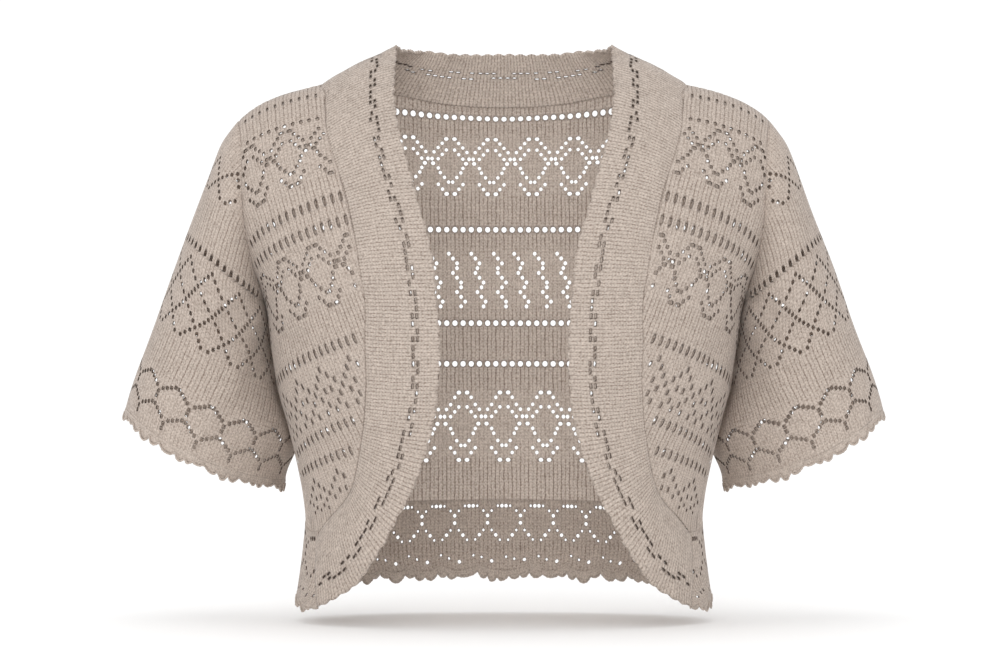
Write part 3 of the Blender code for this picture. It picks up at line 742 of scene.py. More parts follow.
@dataclass
class KnitGrid:
    """Lays out a panel stitch by stitch from its courses, and cuts its eyelets."""

    courses: list
    wale: float = WALE
    course: float = COURSE
    tuck: float = 0.8
    centred: bool = True
    samples: int = 160
    rows: list = field(default_factory=list)

    def __post_init__(self) -> None:
        """Lays the courses out."""
        self.lay()

    def lay(self) -> None:
        """Measures every course and places its wales, which run square to the courses at mid panel."""
        s = np.linspace(0, 1, self.samples)
        middle, last_mid, place = self.samples // 2, None, 0.0
        for course in self.courses:
            points = course(s)
            runs = np.concatenate([[0.0], np.cumsum(np.linalg.norm(np.diff(points, axis=0), axis=1))])
            if self.tuck and runs[-1] > 0:
                first = points[0] + (points[0] - points[1]) / max(runs[1], 1e-6) * self.tuck
                last = points[-1] + (points[-1] - points[-2]) / max(runs[-1] - runs[-2], 1e-6) * self.tuck
                points = np.concatenate([[first], points, [last]])
                runs = np.concatenate([[-self.tuck], runs, [runs[-1] + self.tuck]])
            mid = points[middle]
            if last_mid is not None and not self.centred:
                ahead = points[middle + 1] - points[middle - 1]
                place += float((mid - last_mid) @ ahead) / max(float(np.linalg.norm(ahead)), 1e-6)
            last_mid = mid
            offset = (runs[0] + runs[-1]) / 2 if self.centred else runs[middle] - place
            self.rows.append((runs - offset, points))

    def cloth(self, holes: list, flip: bool) -> Cloth:
        """Makes the mesh.

        Args:
            holes: The Hole rows to cut, in whole courses and wales of this panel.
            flip: Turns the faces round.

        Returns:
            The cloth, with its holes cut wherever the panel is wide enough for them.
        """
        pitch, margin = self.wale, self.wale * 0.4
        lows = [math.ceil((runs[0] + margin) / pitch) for runs, _ in self.rows]
        highs = [math.floor((runs[-1] - margin) / pitch) for runs, _ in self.rows]
        base, count = min(lows), len(self.rows)
        width = max(highs) - base + 1
        ids = np.full((count, width), -1)
        ends = np.zeros((count, 2), int)
        points, knit, edge, total = [], [], [], 0
        for j, (runs, line) in enumerate(self.rows):
            inner = np.arange(lows[j], highs[j] + 1) * pitch
            u = np.concatenate([[runs[0]], inner, [runs[-1]]])
            at = np.stack([np.interp(u, runs, line[:, k]) for k in range(3)], axis=1)
            points.append(at)
            knit.append(np.stack([u, np.full(len(u), j * COURSE)], axis=1))
            edge.append(np.minimum(u - runs[0], runs[-1] - u))
            ends[j] = total, total + len(u) - 1
            if len(inner):
                ids[j, lows[j] - base:highs[j] - base + 1] = total + 1 + np.arange(len(inner))
            total += len(u)
        points, knit, edge = np.concatenate(points), np.concatenate(knit), np.concatenate(edge)
        cloth = Cloth(points, knit, edge, np.zeros((0, 4), int), np.zeros((0, 3), int), np.zeros(len(points)))
        whole = (ids[:-1, :-1] >= 0) & (ids[1:, :-1] >= 0) & (ids[:-1, 1:] >= 0) & (ids[1:, 1:] >= 0)
        cloth.triangles = self.zip_sides(ids, ends, whole, knit)
        return self.knitted(cloth, ids, whole, holes, base, flip)

    def knitted(self, cloth: Cloth, ids: Array, whole: Array, holes: list, base: int, flip: bool) -> Cloth:
        """Adds the whole stitches and the rims of the eyelets to a panel.

        Args:
            cloth: The panel's points, with what faces it has.
            ids: The number of the point at each course and wale, or -1.
            whole: Where four points make a whole stitch.
            holes: The Hole rows to cut.
            base: The wale of the first column.
            flip: Turns the faces round.

        Returns:
            The finished cloth.
        """
        points, knit, edge = cloth.points, cloth.knit, cloth.edge
        free = whole.copy()
        rings = self.cut(holes, base, ids, free)
        j, i = np.nonzero(free)
        quads = [np.stack([ids[j, i], ids[j + 1, i], ids[j + 1, i + 1], ids[j, i + 1]], axis=1)]
        rims = [np.zeros(len(points))]
        for kind, corners in rings.items():
            loop, inner, inner_knit = self.ring(kind, corners, ids, points, knit)
            start = sum(len(r) for r in rims)
            n, m = loop.shape
            fresh = start + np.arange(n * m).reshape(n, m)
            quads.append(np.stack([loop, np.roll(loop, -1, 1), np.roll(fresh, -1, 1), fresh], axis=2).reshape(-1, 4))
            points = np.concatenate([points, inner.reshape(-1, 3)])
            knit = np.concatenate([knit, inner_knit.reshape(-1, 2)])
            edge = np.concatenate([edge, np.full(n * m, 99.0)])
            rims.append(np.ones(n * m))
        quads, triangles = np.concatenate(quads), cloth.triangles
        if flip:
            quads, triangles = quads[:, ::-1], triangles[:, ::-1]
        return compact(Cloth(points, knit, edge, quads, triangles, np.concatenate(rims)))

    def cut(self, holes: list, base: int, ids: Array, free: Array) -> dict:
        """Takes each hole's block of stitches out of free, and returns the blocks' corners by kind.

        Args:
            holes: The Hole rows to cut.
            base: The wale of the first column.
            ids: The number of the point at each course and wale, or -1.
            free: Where there is a stitch; changed here.

        Returns:
            The first course and wale of each block, by kind of hole.
        """
        rings: dict = {}
        for hole in holes:
            high, wide = hole.kind.value[:2]
            r, c = round(hole.course - high / 2), round(hole.wale - wide / 2) - base
            if r < 1 or c < 0 or r + high >= len(ids) - 1 or c + wide >= ids.shape[1]:
                continue
            block = free[r:r + high, c:c + wide]
            if block.all() and (ids[r:r + high + 1, c:c + wide + 1] >= 0).all():
                free[r:r + high, c:c + wide] = False
                rings.setdefault(hole.kind, []).append((r, c))
        return rings

    def ring(self, kind: Eyelet, corners: list, ids: Array, points: Array, knit: Array) -> tuple:
        """The outer loop of each block of one kind, and the new points round its opening.

        Args:
            kind: The kind of hole.
            corners: The first course and wale of each block.
            ids: The number of the point at each course and wale.
            points: The panel's points.
            knit: Their places in the knit.

        Returns:
            The loops of point numbers, the new points, and the places of those in the knit.
        """
        high, wide, half_width, half_height = kind.value
        path = [(k, 0) for k in range(high)] + [(high, k) for k in range(wide)]
        path += [(high - k, wide) for k in range(high)] + [(0, wide - k) for k in range(wide)]
        path = np.array(path)
        corner = np.array(corners)
        loop = ids[corner[:, :1] + path[:, 0], corner[:, 1:] + path[:, 1]]
        down, side = path[:, 0] - high / 2, path[:, 1] - wide / 2
        angle = np.arctan2(down / high, side / wide)
        shrink_side = half_width * np.cos(angle) / self.wale
        shrink_down = half_height * np.sin(angle) / self.course
        row, col = high / 2 + shrink_down, wide / 2 + shrink_side
        r0 = np.clip(np.floor(row).astype(int), 0, high - 1)
        c0 = np.clip(np.floor(col).astype(int), 0, wide - 1)
        fr, fc = (row - r0)[None, :, None], (col - c0)[None, :, None]

        def blend(values: Array) -> Array:
            """Values read between the stitches of each block, where its opening lies."""
            q = [[values[ids[corner[:, :1] + r0 + a, corner[:, 1:] + c0 + b]] for b in (0, 1)] for a in (0, 1)]
            return (q[0][0] * (1 - fc) + q[0][1] * fc) * (1 - fr) + (q[1][0] * (1 - fc) + q[1][1] * fc) * fr

        return loop, blend(points), blend(knit)

    def zip_sides(self, ids: Array, ends: Array, full: Array, knit: Array) -> Array:
        """Closes the strips between the last whole stitch of each course and the panel's edges.

        Args:
            ids: The number of the point at each course and wale, or -1.
            ends: The numbers of the first and last point of each course.
            full: Where four points make a whole stitch.
            knit: The points' places in the knit.

        Returns:
            The triangles.
        """
        triangles = []
        for j in range(len(ids) - 1):
            whole = np.nonzero(full[j])[0]
            upper = ids[j][ids[j] >= 0].tolist()
            lower = ids[j + 1][ids[j + 1] >= 0].tolist()
            upper = [ends[j, 0], *upper, ends[j, 1]]
            lower = [ends[j + 1, 0], *lower, ends[j + 1, 1]]
            if not len(whole):
                triangles += self.zip_up(upper, lower, knit)
                continue
            left, right = whole[0], whole[-1] + 1
            a0, b0 = upper.index(ids[j, left]), lower.index(ids[j + 1, left])
            a1, b1 = upper.index(ids[j, right]), lower.index(ids[j + 1, right])
            triangles += self.zip_up(upper[:a0 + 1], lower[:b0 + 1], knit)
            triangles += self.zip_up(upper[a1:], lower[b1:], knit)
        return np.array(triangles, int).reshape(-1, 3)

    @staticmethod
    def zip_up(upper: list, lower: list, knit: Array) -> list:
        """Joins two runs of points, one course apart, with triangles.

        Args:
            upper: The numbers of the upper run.
            lower: The numbers of the lower run.
            knit: The points' places in the knit.

        Returns:
            The triangles.
        """
        faces, a, b = [], 0, 0
        while a < len(upper) - 1 or b < len(lower) - 1:
            step_upper = b == len(lower) - 1 or (
                a < len(upper) - 1 and knit[upper[a + 1], 0] <= knit[lower[b + 1], 0]
            )
            if step_upper:
                faces.append((upper[a], lower[b], upper[a + 1]))
                a += 1
            else:
                faces.append((upper[a], lower[b], lower[b + 1]))
                b += 1
        return faces


def compact(cloth: Cloth) -> Cloth:
    """The same cloth without the points that no face uses.

    Args:
        cloth: The cloth with its spare points.

    Returns:
        The cloth without them.
    """
    used = np.unique(np.concatenate([cloth.quads.ravel(), cloth.triangles.ravel()]))
    fresh = np.full(len(cloth.points), -1)
    fresh[used] = np.arange(len(used))
    return Cloth(cloth.points[used], cloth.knit[used], cloth.edge[used], fresh[cloth.quads],
                 fresh[cloth.triangles], cloth.rim[used])


def charted(zones: tuple, row_at_height: Callable[[float], float], half_width: int, middle: float = 0) -> list:
    """Every hole of a panel's zones, with each motif repeated across the panel.

    Args:
        zones: The panel's Zone rows.
        row_at_height: Gives the course number at a height on the guide line.
        half_width: How many wales to cover on each side of the middle.
        middle: The wale that the repeats are centred on.

    Returns:
        The holes, in courses and wales.
    """
    holes = []
    for zone in zones:
        first = round(row_at_height(zone.height))
        reach = int(half_width // zone.motif.repeat) + 1
        for k in range(-reach, reach + 1):
            centre = middle + zone.shift + k * zone.motif.repeat
            holes += [Hole(first + h.course, centre + h.wale, h.kind) for h in zone.motif.holes]
    return holes


def ribbing(zones: tuple, row_at_height: Callable[[float], float], count: int) -> Array:
    """How ribbed each course of a panel is: rib everywhere but in its zones, softened over a few courses.

    Args:
        zones: The panel's Zone rows.
        row_at_height: Gives the course number at a height on the guide line.
        count: How many courses the panel has.

    Returns:
        How ribbed each course is, from 0 to 1.
    """
    level = np.ones(count)
    for zone in zones:
        first = round(row_at_height(zone.height))
        level[max(first - 1, 0):max(first + zone.motif.courses, 0)] = zone.motif.ribbed
    return np.convolve(np.pad(level, 2, mode="edge"), np.ones(5) / 5, mode="valid")


def linear(colour: str) -> tuple:
    """The linear RGBA value of an sRGB hex colour such as c8b7ac."""
    parts = [int(colour[k:k + 2], 16) / 255 for k in (0, 2, 4)]
    return (*(p / 12.92 if p <= 0.04045 else ((p + 0.055) / 1.055) ** 2.4 for p in parts), 1.0)


def add_node(tree: bpy.types.NodeTree, kind: str, settings: dict, inputs: dict) -> bpy.types.Node:
    """Adds one node to a tree.

    Args:
        tree: The node tree.
        kind: The node's type.
        settings: Values for the node's own properties.
        inputs: Sockets, by name or number, each with a value or with the socket that feeds it.

    Returns:
        The new node.
    """
    node = tree.nodes.new(kind)
    for name, value in settings.items():
        setattr(node, name, value)
    for name, value in inputs.items():
        if isinstance(value, bpy.types.NodeSocket):
            tree.links.new(value, node.inputs[name])
        else:
            node.inputs[name].default_value = value
    return node


class Stitch(Enum):
    """The fine surface of a kind of knit."""

    PLAIN = "plain"
    RIB = "rib"
    CROCHET = "crochet"


@dataclass(frozen=True)
class Yarn:
    """A finish of soft cotton yarn: its two melange shades, its stitch and how rough it is.

    Carded cotton spun from a light and a dark fibre. It gives the eye a fine fleck with no shine, furrows
    between the wales with painted shade in them and between the stitches, a little light through the
    cloth, and a rim of painted shade round every eyelet.
    The fleck is 1.1 mm, coarser than the fibre, which is too fine to show.
    """

    name: str
    # light and dark are the melange colours; the relief mixes in more of the dark one as painted shade in the
    # furrows and between the stitches
    light: str
    dark: str
    # shade is the colour of the painted shade mixed in round every eyelet
    shade: str
    stitch: Stitch
    roughness: float = 0.85
    relief: float = 0.35
    sheen: float = 0.2
    lets_through: float = 0.26
    # how the painted shade round each eyelet falls off towards the stitches, and how dark it gets at the opening
    rim_shade_fall: float = 1.7
    rim_shade_depth: float = 0.85

    def build(self) -> bpy.types.Material:
        """Makes the material, with its scales in millimetres of the knit's own UV map.

        Returns:
            The material.
        """
        material = bpy.data.materials.new(self.name)
        material.use_nodes = True
        tree = material.node_tree
        tree.nodes.clear()
        body = add_node(tree, "ShaderNodeTexCoord", {}, {}).outputs["Object"]
        place = add_node(tree, "ShaderNodeUVMap", {"uv_map": "knit"}, {}).outputs["UV"]
        sway = self.noise(tree, body, 9.0, 1.0)
        parts = add_node(tree, "ShaderNodeSeparateXYZ", {}, {"Vector": place})
        drift = self.maths(tree, "MULTIPLY", self.maths(tree, "SUBTRACT", sway, 0.5), 1.6)
        u = self.maths(tree, "ADD", parts.outputs["X"], drift)
        v = self.maths(tree, "ADD", parts.outputs["Y"], drift)
        streak = add_node(tree, "ShaderNodeCombineXYZ", {}, {
            0: self.maths(tree, "MULTIPLY", u, MM), 1: self.maths(tree, "MULTIPLY", v, MM / 2)}).outputs[0]
        fleck, mottle = self.noise(tree, streak, 1.1, 1.0), self.noise(tree, body, 6.0, 2.0)
        height = self.height(tree, u, v, fleck)
        # The colour follows the relief: the furrows and the gaps between the stitches take more of the dark yarn as
        # painted shade, while the fleck and the mottle are the yarn's own uneven tone
        mixed = self.maths(tree, "ADD", self.maths(tree, "MULTIPLY", height, 0.75),
                           self.maths(tree, "MULTIPLY", mottle, 0.25))
        shade = add_node(tree, "ShaderNodeMapRange", {}, {"Value": mixed, "From Min": 0.25, "From Max": 0.75})
        # Painted shade: a darker colour mixed in round every eyelet, strongest at its opening
        rim = add_node(tree, "ShaderNodeAttribute", {"attribute_name": "rim"}, {}).outputs["Fac"]
        knitted = add_node(tree, "ShaderNodeMix", {"data_type": "RGBA"},
                           {0: shade.outputs["Result"], 6: linear(self.dark), 7: linear(self.light)})
        depth = self.maths(tree, "MULTIPLY", self.maths(tree, "POWER", rim, self.rim_shade_fall), self.rim_shade_depth)
        colour = add_node(tree, "ShaderNodeMix", {"data_type": "RGBA"},
                          {0: depth, 6: knitted.outputs[2], 7: linear(self.shade)})
        bump = add_node(tree, "ShaderNodeBump", {},
                        {"Strength": 1.0, "Distance": self.relief * MM, "Height": height})
        shader = add_node(tree, "ShaderNodeBsdfPrincipled", {}, {
            "Base Color": colour.outputs[2], "Roughness": self.roughness, "Normal": bump.outputs["Normal"],
            "Sheen Weight": self.sheen, "Sheen Roughness": 0.5, "IOR": 1.45,
            "Specular IOR Level": 0.15, "Subsurface Weight": 0.0,
        })
        glow = add_node(tree, "ShaderNodeBsdfTranslucent", {}, {"Color": colour.outputs[2]})
        blend = add_node(tree, "ShaderNodeMixShader", {},
                         {0: self.lets_through, 1: shader.outputs["BSDF"], 2: glow.outputs["BSDF"]})
        add_node(tree, "ShaderNodeOutputMaterial", {}, {"Surface": blend.outputs["Shader"]})
        return material

    @staticmethod
    def maths(tree: bpy.types.NodeTree, operation: str, *values: object) -> bpy.types.NodeSocket:
        """The output of one Math node."""
        node = add_node(tree, "ShaderNodeMath", {"operation": operation}, dict(enumerate(values)))
        return node.outputs[0]

    @staticmethod
    def noise(tree: bpy.types.NodeTree, place: object, size: float, detail: float) -> bpy.types.NodeSocket:
        """Soft noise with features of about this size, in millimetres.

        Args:
            tree: The node tree.
            place: The socket of the place.
            size: The size of the features.
            detail: How many finer layers it has.

        Returns:
            The socket of the noise.
        """
        node = add_node(tree, "ShaderNodeTexNoise", {"noise_dimensions": "3D"},
                        {"Vector": place, "Scale": 1 / (size * MM), "Detail": detail})
        return node.outputs["Fac"]

    def furrow(self, tree: bpy.types.NodeTree, u: object, pitch: float, width: float,
               shift: float = 0.0) -> bpy.types.NodeSocket:
        """Soft furrows, 1 at their middle, at every pitch across the wales; the colour darkens in them as painted
        shade.

        Args:
            tree: The node tree.
            u: The socket of the place across the wales, in millimetres.
            pitch: The spacing of the furrows.
            width: How far a furrow reaches to each side.
            shift: How far the first one is from the middle.

        Returns:
            The socket of the furrows.
        """
        place = self.maths(tree, "PINGPONG", self.maths(tree, "ADD", u, shift), pitch / 2)
        node = add_node(tree, "ShaderNodeMapRange", {"interpolation_type": "SMOOTHSTEP"},
                        {"Value": place, "From Min": width, "From Max": 0.0})
        return node.outputs["Result"]

    def height(self, tree: bpy.types.NodeTree, u: object, v: object, fleck: object) -> bpy.types.NodeSocket:
        """The relief of the stitches, from 0 to 1, which also darkens the colour in its low parts as painted shade.

        Args:
            tree: The node tree.
            u: The socket of the place across the wales, in millimetres.
            v: The socket of the place along the wales, in millimetres.
            fleck: A socket of fine noise.

        Returns:
            The socket of the relief.
        """
        wide, tall = {Stitch.PLAIN: (3.4, 2.4), Stitch.RIB: (2.9, 2.4), Stitch.CROCHET: (2.4, 2.2)}[self.stitch]
        across = self.maths(tree, "PINGPONG", self.maths(tree, "DIVIDE", u, wide / 2), 1.0)
        turn = self.maths(tree, "ADD", self.maths(tree, "DIVIDE", v, tall),
                          self.maths(tree, "MULTIPLY", across, 0.5))
        loops = self.maths(tree, "SINE", self.maths(tree, "MULTIPLY", turn, 2 * math.pi))
        total = self.maths(tree, "ADD", self.maths(tree, "MULTIPLY", loops, 0.07),
                           self.maths(tree, "MULTIPLY", fleck, 1.0))
        total = self.maths(tree, "ADD", total, 0.15)
        if self.stitch is Stitch.CROCHET:
            return total
        if self.stitch is Stitch.PLAIN:
            # ribbed deepens the rib furrows, both in the bump and in their painted shade
            ribbed = add_node(tree, "ShaderNodeAttribute", {"attribute_name": "ribbed"}, {}).outputs["Fac"]
            four = 4 * WALE
            deep = self.maths(tree, "MULTIPLY", self.furrow(tree, u, four, 0.9), 0.3)
            half = self.maths(tree, "MULTIPLY", self.furrow(tree, u, four, 0.8, four / 2), 0.12)
            ribs = self.maths(tree, "MULTIPLY", self.maths(tree, "ADD", deep, half), ribbed)
            total = self.maths(tree, "SUBTRACT", total, ribs)
        depth = 0.3 if self.stitch is Stitch.RIB else 0.16
        line = self.maths(tree, "MULTIPLY", self.furrow(tree, u, wide, wide * 0.3), depth)
        return self.maths(tree, "SUBTRACT", total, line)


@dataclass(frozen=True)
class Matt:
    """A plain matt finish, such as heavy white paper, which gives the eye an even ground with no gloss."""

    name: str
    colour: str
    roughness: float = 0.9

    def build(self) -> bpy.types.Material:
        """Makes the material.

        Returns:
            The material.
        """
        material = bpy.data.materials.new(self.name)
        material.use_nodes = True
        shader = material.node_tree.nodes["Principled BSDF"]
        shader.inputs["Base Color"].default_value = linear(self.colour)
        shader.inputs["Roughness"].default_value = self.roughness
        return material


@dataclass(frozen=True)
class Cut:
    """What a piece was cut to before it was worn, in millimetres, and how much of that box it fills."""

    width: float
    length: float
    share: float = 1.0


def make_object(cloth: Cloth, name: str, wall: float, material: bpy.types.Material,
                ribbed: Array | None = None) -> bpy.types.Object:
    """Makes a knitted piece from its numbers, thickened inwards to its wall.

    Args:
        cloth: The piece as numbers.
        name: The object's name.
        wall: The cloth's thickness, or 0 for a single layer.
        material: Its yarn.
        ribbed: How ribbed each point is, or nothing for the same all over.

    Returns:
        The object.
    """
    mesh = bpy.data.meshes.new(name)
    faces = [face.tolist() for face in cloth.quads] + [face.tolist() for face in cloth.triangles]
    mesh.from_pydata((cloth.points * MM).tolist(), [], faces)
    mesh.validate()
    layer = mesh.uv_layers.new(name="knit")
    corners = np.empty(len(mesh.loops), int)
    mesh.loops.foreach_get("vertex_index", corners)
    layer.data.foreach_set("uv", cloth.knit[corners].ravel())
    # rim marks the points round each eyelet, where the yarn paints shade; ribbed also sets the depth of the painted
    # shade in the rib furrows
    for key, values in (("ribbed", np.ones(len(cloth.points)) if ribbed is None else ribbed), ("rim", cloth.rim)):
        mesh.attributes.new(key, "FLOAT", "POINT").data.foreach_set("value", values)
    mesh.materials.append(material)
    mesh.shade_smooth()
    piece = bpy.data.objects.new(name, mesh)
    bpy.context.scene.collection.objects.link(piece)
    if wall:
        shell = piece.modifiers.new("wall", "SOLIDIFY")
        shell.thickness, shell.offset = wall * MM, -1.0
        shell.use_even_offset = False
    return piece


def dress(piece: bpy.types.Object, node: str) -> bpy.types.Object:
    """Places a finished piece in the frame, hides the solid that it stands for and logs its triangles.

    Args:
        piece: The finished piece.
        node: The solid that it stands for.

    Returns:
        The piece.
    """
    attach(piece, "root")
    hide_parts(node)
    shown = piece.evaluated_get(bpy.context.evaluated_depsgraph_get()).to_mesh()
    shown.calc_loop_triangles()
    LOG.info("%s: %d triangles, for %s", piece.name, len(shown.loop_triangles), node)
    return piece


@dataclass
class Lace:
    """The relief of the lace knit: narrow ribs, an uneven surface, and worn folds."""

    rib: float = 0.55
    half_rib: float = 0.2
    ripple: float = 0.3

    def raise_knit(self, cloth: Cloth, ribbed: Array, seed: int) -> Cloth:
        """Lifts and sinks the points of a flat-laid panel along its normals.

        Args:
            cloth: The panel, on its worn form.
            ribbed: How ribbed each point is, from 0 to 1.
            seed: Fixes the panel's own slight unevenness.

        Returns:
            The same cloth, moved.
        """
        column = cloth.knit[:, 0] / WALE
        fade = np.clip(cloth.edge / 3.0, 0.0, 1.0) * (1 - cloth.rim)
        wave = np.cos(column * math.pi / 2)
        lift = -fade * ribbed * (self.rib * np.clip(wave, 0, 1) ** 2 + self.half_rib * np.clip(-wave, 0, 1) ** 2)
        phase = np.random.default_rng(seed).uniform(0, 2 * math.pi, 3)
        p = cloth.points
        lift += self.ripple * np.sin(p[:, 0] / 17 + phase[0]) * np.sin(p[:, 2] / 23 + phase[1])
        lift += self.ripple * 0.6 * np.sin((p[:, 0] + p[:, 1]) / 8.5 + phase[2] + p[:, 2] / 19)
        lift += fold_depth(p)
        cloth.points = p + cloth.normals() * lift[:, None]
        return cloth


class Chart(NamedTuple):
    """What is charted on a panel: its zones, its course numbers by level, its half width in wales, its facing."""

    zones: tuple
    row_at: Callable[[float], float]
    reach: int
    flip: bool


@dataclass
class Panels:
    """The knitted lace panels: back, two fronts, two sleeves and the hem border."""

    form: Form
    yarn: bpy.types.Material
    lace: Lace = field(default_factory=Lace)
    back_zones: tuple = (
        Zone(EYELET_ROW, -8.0), Zone(DIAMOND, -28.0, 14), Zone(EYELET_ROW, -96.0), Zone(ZIGZAG, -118.0, -2.5),
        Zone(EYELET_ROW, -174.0), Zone(EYELET_ROW, -207.0), Zone(DIAMOND.taller(1.15), -235.0),
    )
    front_zones: tuple = (
        Zone(SLIT_ROW, 4.0), Zone(DOT_ROW, -15.0), Zone(DIAMOND, -23.0), Zone(SLOT_ROW, -74.0),
        Zone(SLOT_ROW, -92.0), Zone(DIAMOND, -110.0), Zone(SLOT_ROW, -183.0), Zone(SCATTER, -198.0, 3),
        Zone(SLOT_ROW, -246.0), Zone(SLOT_ROW, -270.0), Zone(SCATTER, -286.0),
    )
    sleeve_zones: tuple = (
        Zone(PLAIN, 4.0), Zone(LATTICE, 44.0), Zone(SLOT_ROW, 119.0), Zone(LATTICE, 138.0, 8),
        Zone(LATTICE, 170.0, 8), Zone(CELLS, 238.0), Zone(CELLS, 258.0, 9), Zone(PLAIN, 274.0),
    )
    soft_rib: float = 0.7
    hem_length: float = 410.0
    scallop: float = 33.6
    scallop_depth: float = 5.0
    scallop_from: float = 0.35
    border_zones: tuple = (Zone(HEXAGON, 3.0), Zone(FAN, 44.0))

    def courses(self, course_at: Callable[[float], Course], guide: float, lap: tuple | None = None) -> tuple:
        """Spaces a panel's courses evenly along a guide line.

        Args:
            course_at: Gives the course at a place from 0 to 1.
            guide: How far along each course the guide line runs.
            lap: How far the first course is raised over its neighbour.

        Returns:
            The courses, and the guide line's height at each of them.
        """
        places = np.linspace(0, 1, 81)
        line = np.array([course_at(float(at))(np.array([guide]))[0] for at in places])
        runs = np.concatenate([[0.0], np.cumsum(np.linalg.norm(np.diff(line, axis=0), axis=1))])
        count = max(round(runs[-1] / COURSE), 2)
        at = np.interp(np.linspace(0, runs[-1], count + 1), runs, places)
        courses = [course_at(float(a)) for a in at]
        if lap:
            first = courses[0]
            courses[0] = lambda s: first(s) + np.array(lap)
        return courses, np.interp(at, places, line[:, 2]), np.linspace(0, runs[-1], count + 1)

    @staticmethod
    def rows_at(levels: Array) -> Callable[[float], float]:
        """The course number at a level, which may rise or fall down the panel.

        Args:
            levels: The level of each course.

        Returns:
            A function from a level to a course number.
        """
        rising = levels[-1] > levels[0]
        order = levels if rising else levels[::-1]
        rows = np.arange(len(levels), dtype=float)
        rows = rows if rising else rows[::-1]
        return lambda level: float(np.interp(level, order, rows))

    def finish(self, grid: KnitGrid, chart: Chart, name: str, side: int, seed: int) -> bpy.types.Object:
        """Cuts a panel, puts it on its side of the body, raises its relief and makes its object.

        Args:
            grid: The panel's laid-out courses.
            chart: What is charted on it.
            name: The object's name.
            side: 1 for the wearer's left or the whole body, -1 for the right.
            seed: Fixes its unevenness.

        Returns:
            The object.
        """
        cloth = grid.cloth(charted(chart.zones, chart.row_at, chart.reach), chart.flip)
        if side < 0:
            cloth.points = cloth.points * np.array([-1.0, 1.0, 1.0])
            cloth.quads, cloth.triangles = cloth.quads[:, ::-1], cloth.triangles[:, ::-1]
        levels = ribbing(chart.zones, chart.row_at, len(grid.courses))
        ribbed = np.interp(cloth.knit[:, 1] / COURSE, np.arange(len(levels)), levels)
        ribbed = ribbed * (1.0 if chart.flip else self.soft_rib)
        wall = 0.0 if name == "lace_back" else LACE_WALL  # one layer keeps the back under 200,000 triangles
        return make_object(self.lace.raise_knit(cloth, ribbed, seed), name, wall, self.yarn, ribbed)

    def whole(self, half: Course) -> Course:
        """A course across the whole body, from the wearer's right to the left, from its left half.

        Args:
            half: The course of the left half, from the middle outwards.

        Returns:
            The whole course.
        """

        def points(s: Array) -> Array:
            """Points of the course, from the right at 0 to the left at 1.

            Args:
                s: Shares of the length, from 0 to 1.

            Returns:
                The points.
            """
            across = half(np.abs(2 * s - 1))
            across[:, 0] *= np.sign(2 * s - 1)
            return across

        return points

    def back(self) -> bpy.types.Object:
        """The back, from the neck and shoulders to the hem border.

        Returns:
            The object.
        """
        courses, heights, _ = self.courses(self.form.back_course, 0.0)
        grid = KnitGrid([self.whole(c) for c in courses])
        chart = Chart(self.back_zones, self.rows_at(heights), reach=140, flip=True)
        return self.finish(grid, chart, "lace_back", 1, 11)

    def front(self, side: int) -> bpy.types.Object:
        """A front; side is 1 for the wearer's left and -1 for the right.

        Args:
            side: 1 for the wearer's left, -1 for the right.

        Returns:
            The object.
        """
        courses, heights, _ = self.courses(self.form.front_course, 0.0, (0.0, 1.2, 0.0))
        grid = KnitGrid(courses, centred=False)
        chart = Chart(self.front_zones, self.rows_at(heights), reach=80, flip=False)
        return self.finish(grid, chart, f"lace_front_{'left' if side > 0 else 'right'}", side, 5 + side)

    def sleeve(self, side: int) -> bpy.types.Object:
        """A short sleeve, knitted from its cap down to its cuff.

        Args:
            side: 1 for the wearer's left, -1 for the right.

        Returns:
            The object.
        """
        courses, _, runs = self.courses(self.form.sleeve_course, 0.3)
        grid = KnitGrid(courses)
        chart = Chart(self.sleeve_zones, self.rows_at(runs), reach=140, flip=False)
        return self.finish(grid, chart, f"lace_sleeve_{'left' if side > 0 else 'right'}", side, 8 + side)

    def hem_course(self, at: float) -> Course:
        """A course of the hem border, drawn down into scallops towards its foot.

        Args:
            at: The course, from 0 at the top to 1 at the foot.

        Returns:
            The course of the left half.
        """
        plain = self.form.hem_course(at)
        weight = max(at - self.scallop_from, 0.0) / (1 - self.scallop_from)

        def points(s: Array) -> Array:
            """Points of the course, with the scallops drawn down.

            Args:
                s: Shares of the length, from 0 to 1.

            Returns:
                The points.
            """
            at_foot = plain(s)
            run = s * self.hem_length
            scallop = np.abs(np.cos(math.pi * run / self.scallop)) ** 0.8 - 0.55
            at_foot[:, 2] -= weight * weight * self.scallop_depth * scallop * np.clip((1 - s) * 12, 0, 1)
            return at_foot

        return points

    def border(self) -> bpy.types.Object:
        """The hem border, which runs in one length from the end of the band round the back.

        Returns:
            The object.
        """
        courses, _, runs = self.courses(self.hem_course, 0.0, (0.0, 0.0, 1.0))
        grid = KnitGrid([self.whole(c) for c in courses])
        chart = Chart(self.border_zones, self.rows_at(runs), reach=220, flip=True)
        return self.finish(grid, chart, "lace_hem_border", 1, 3)


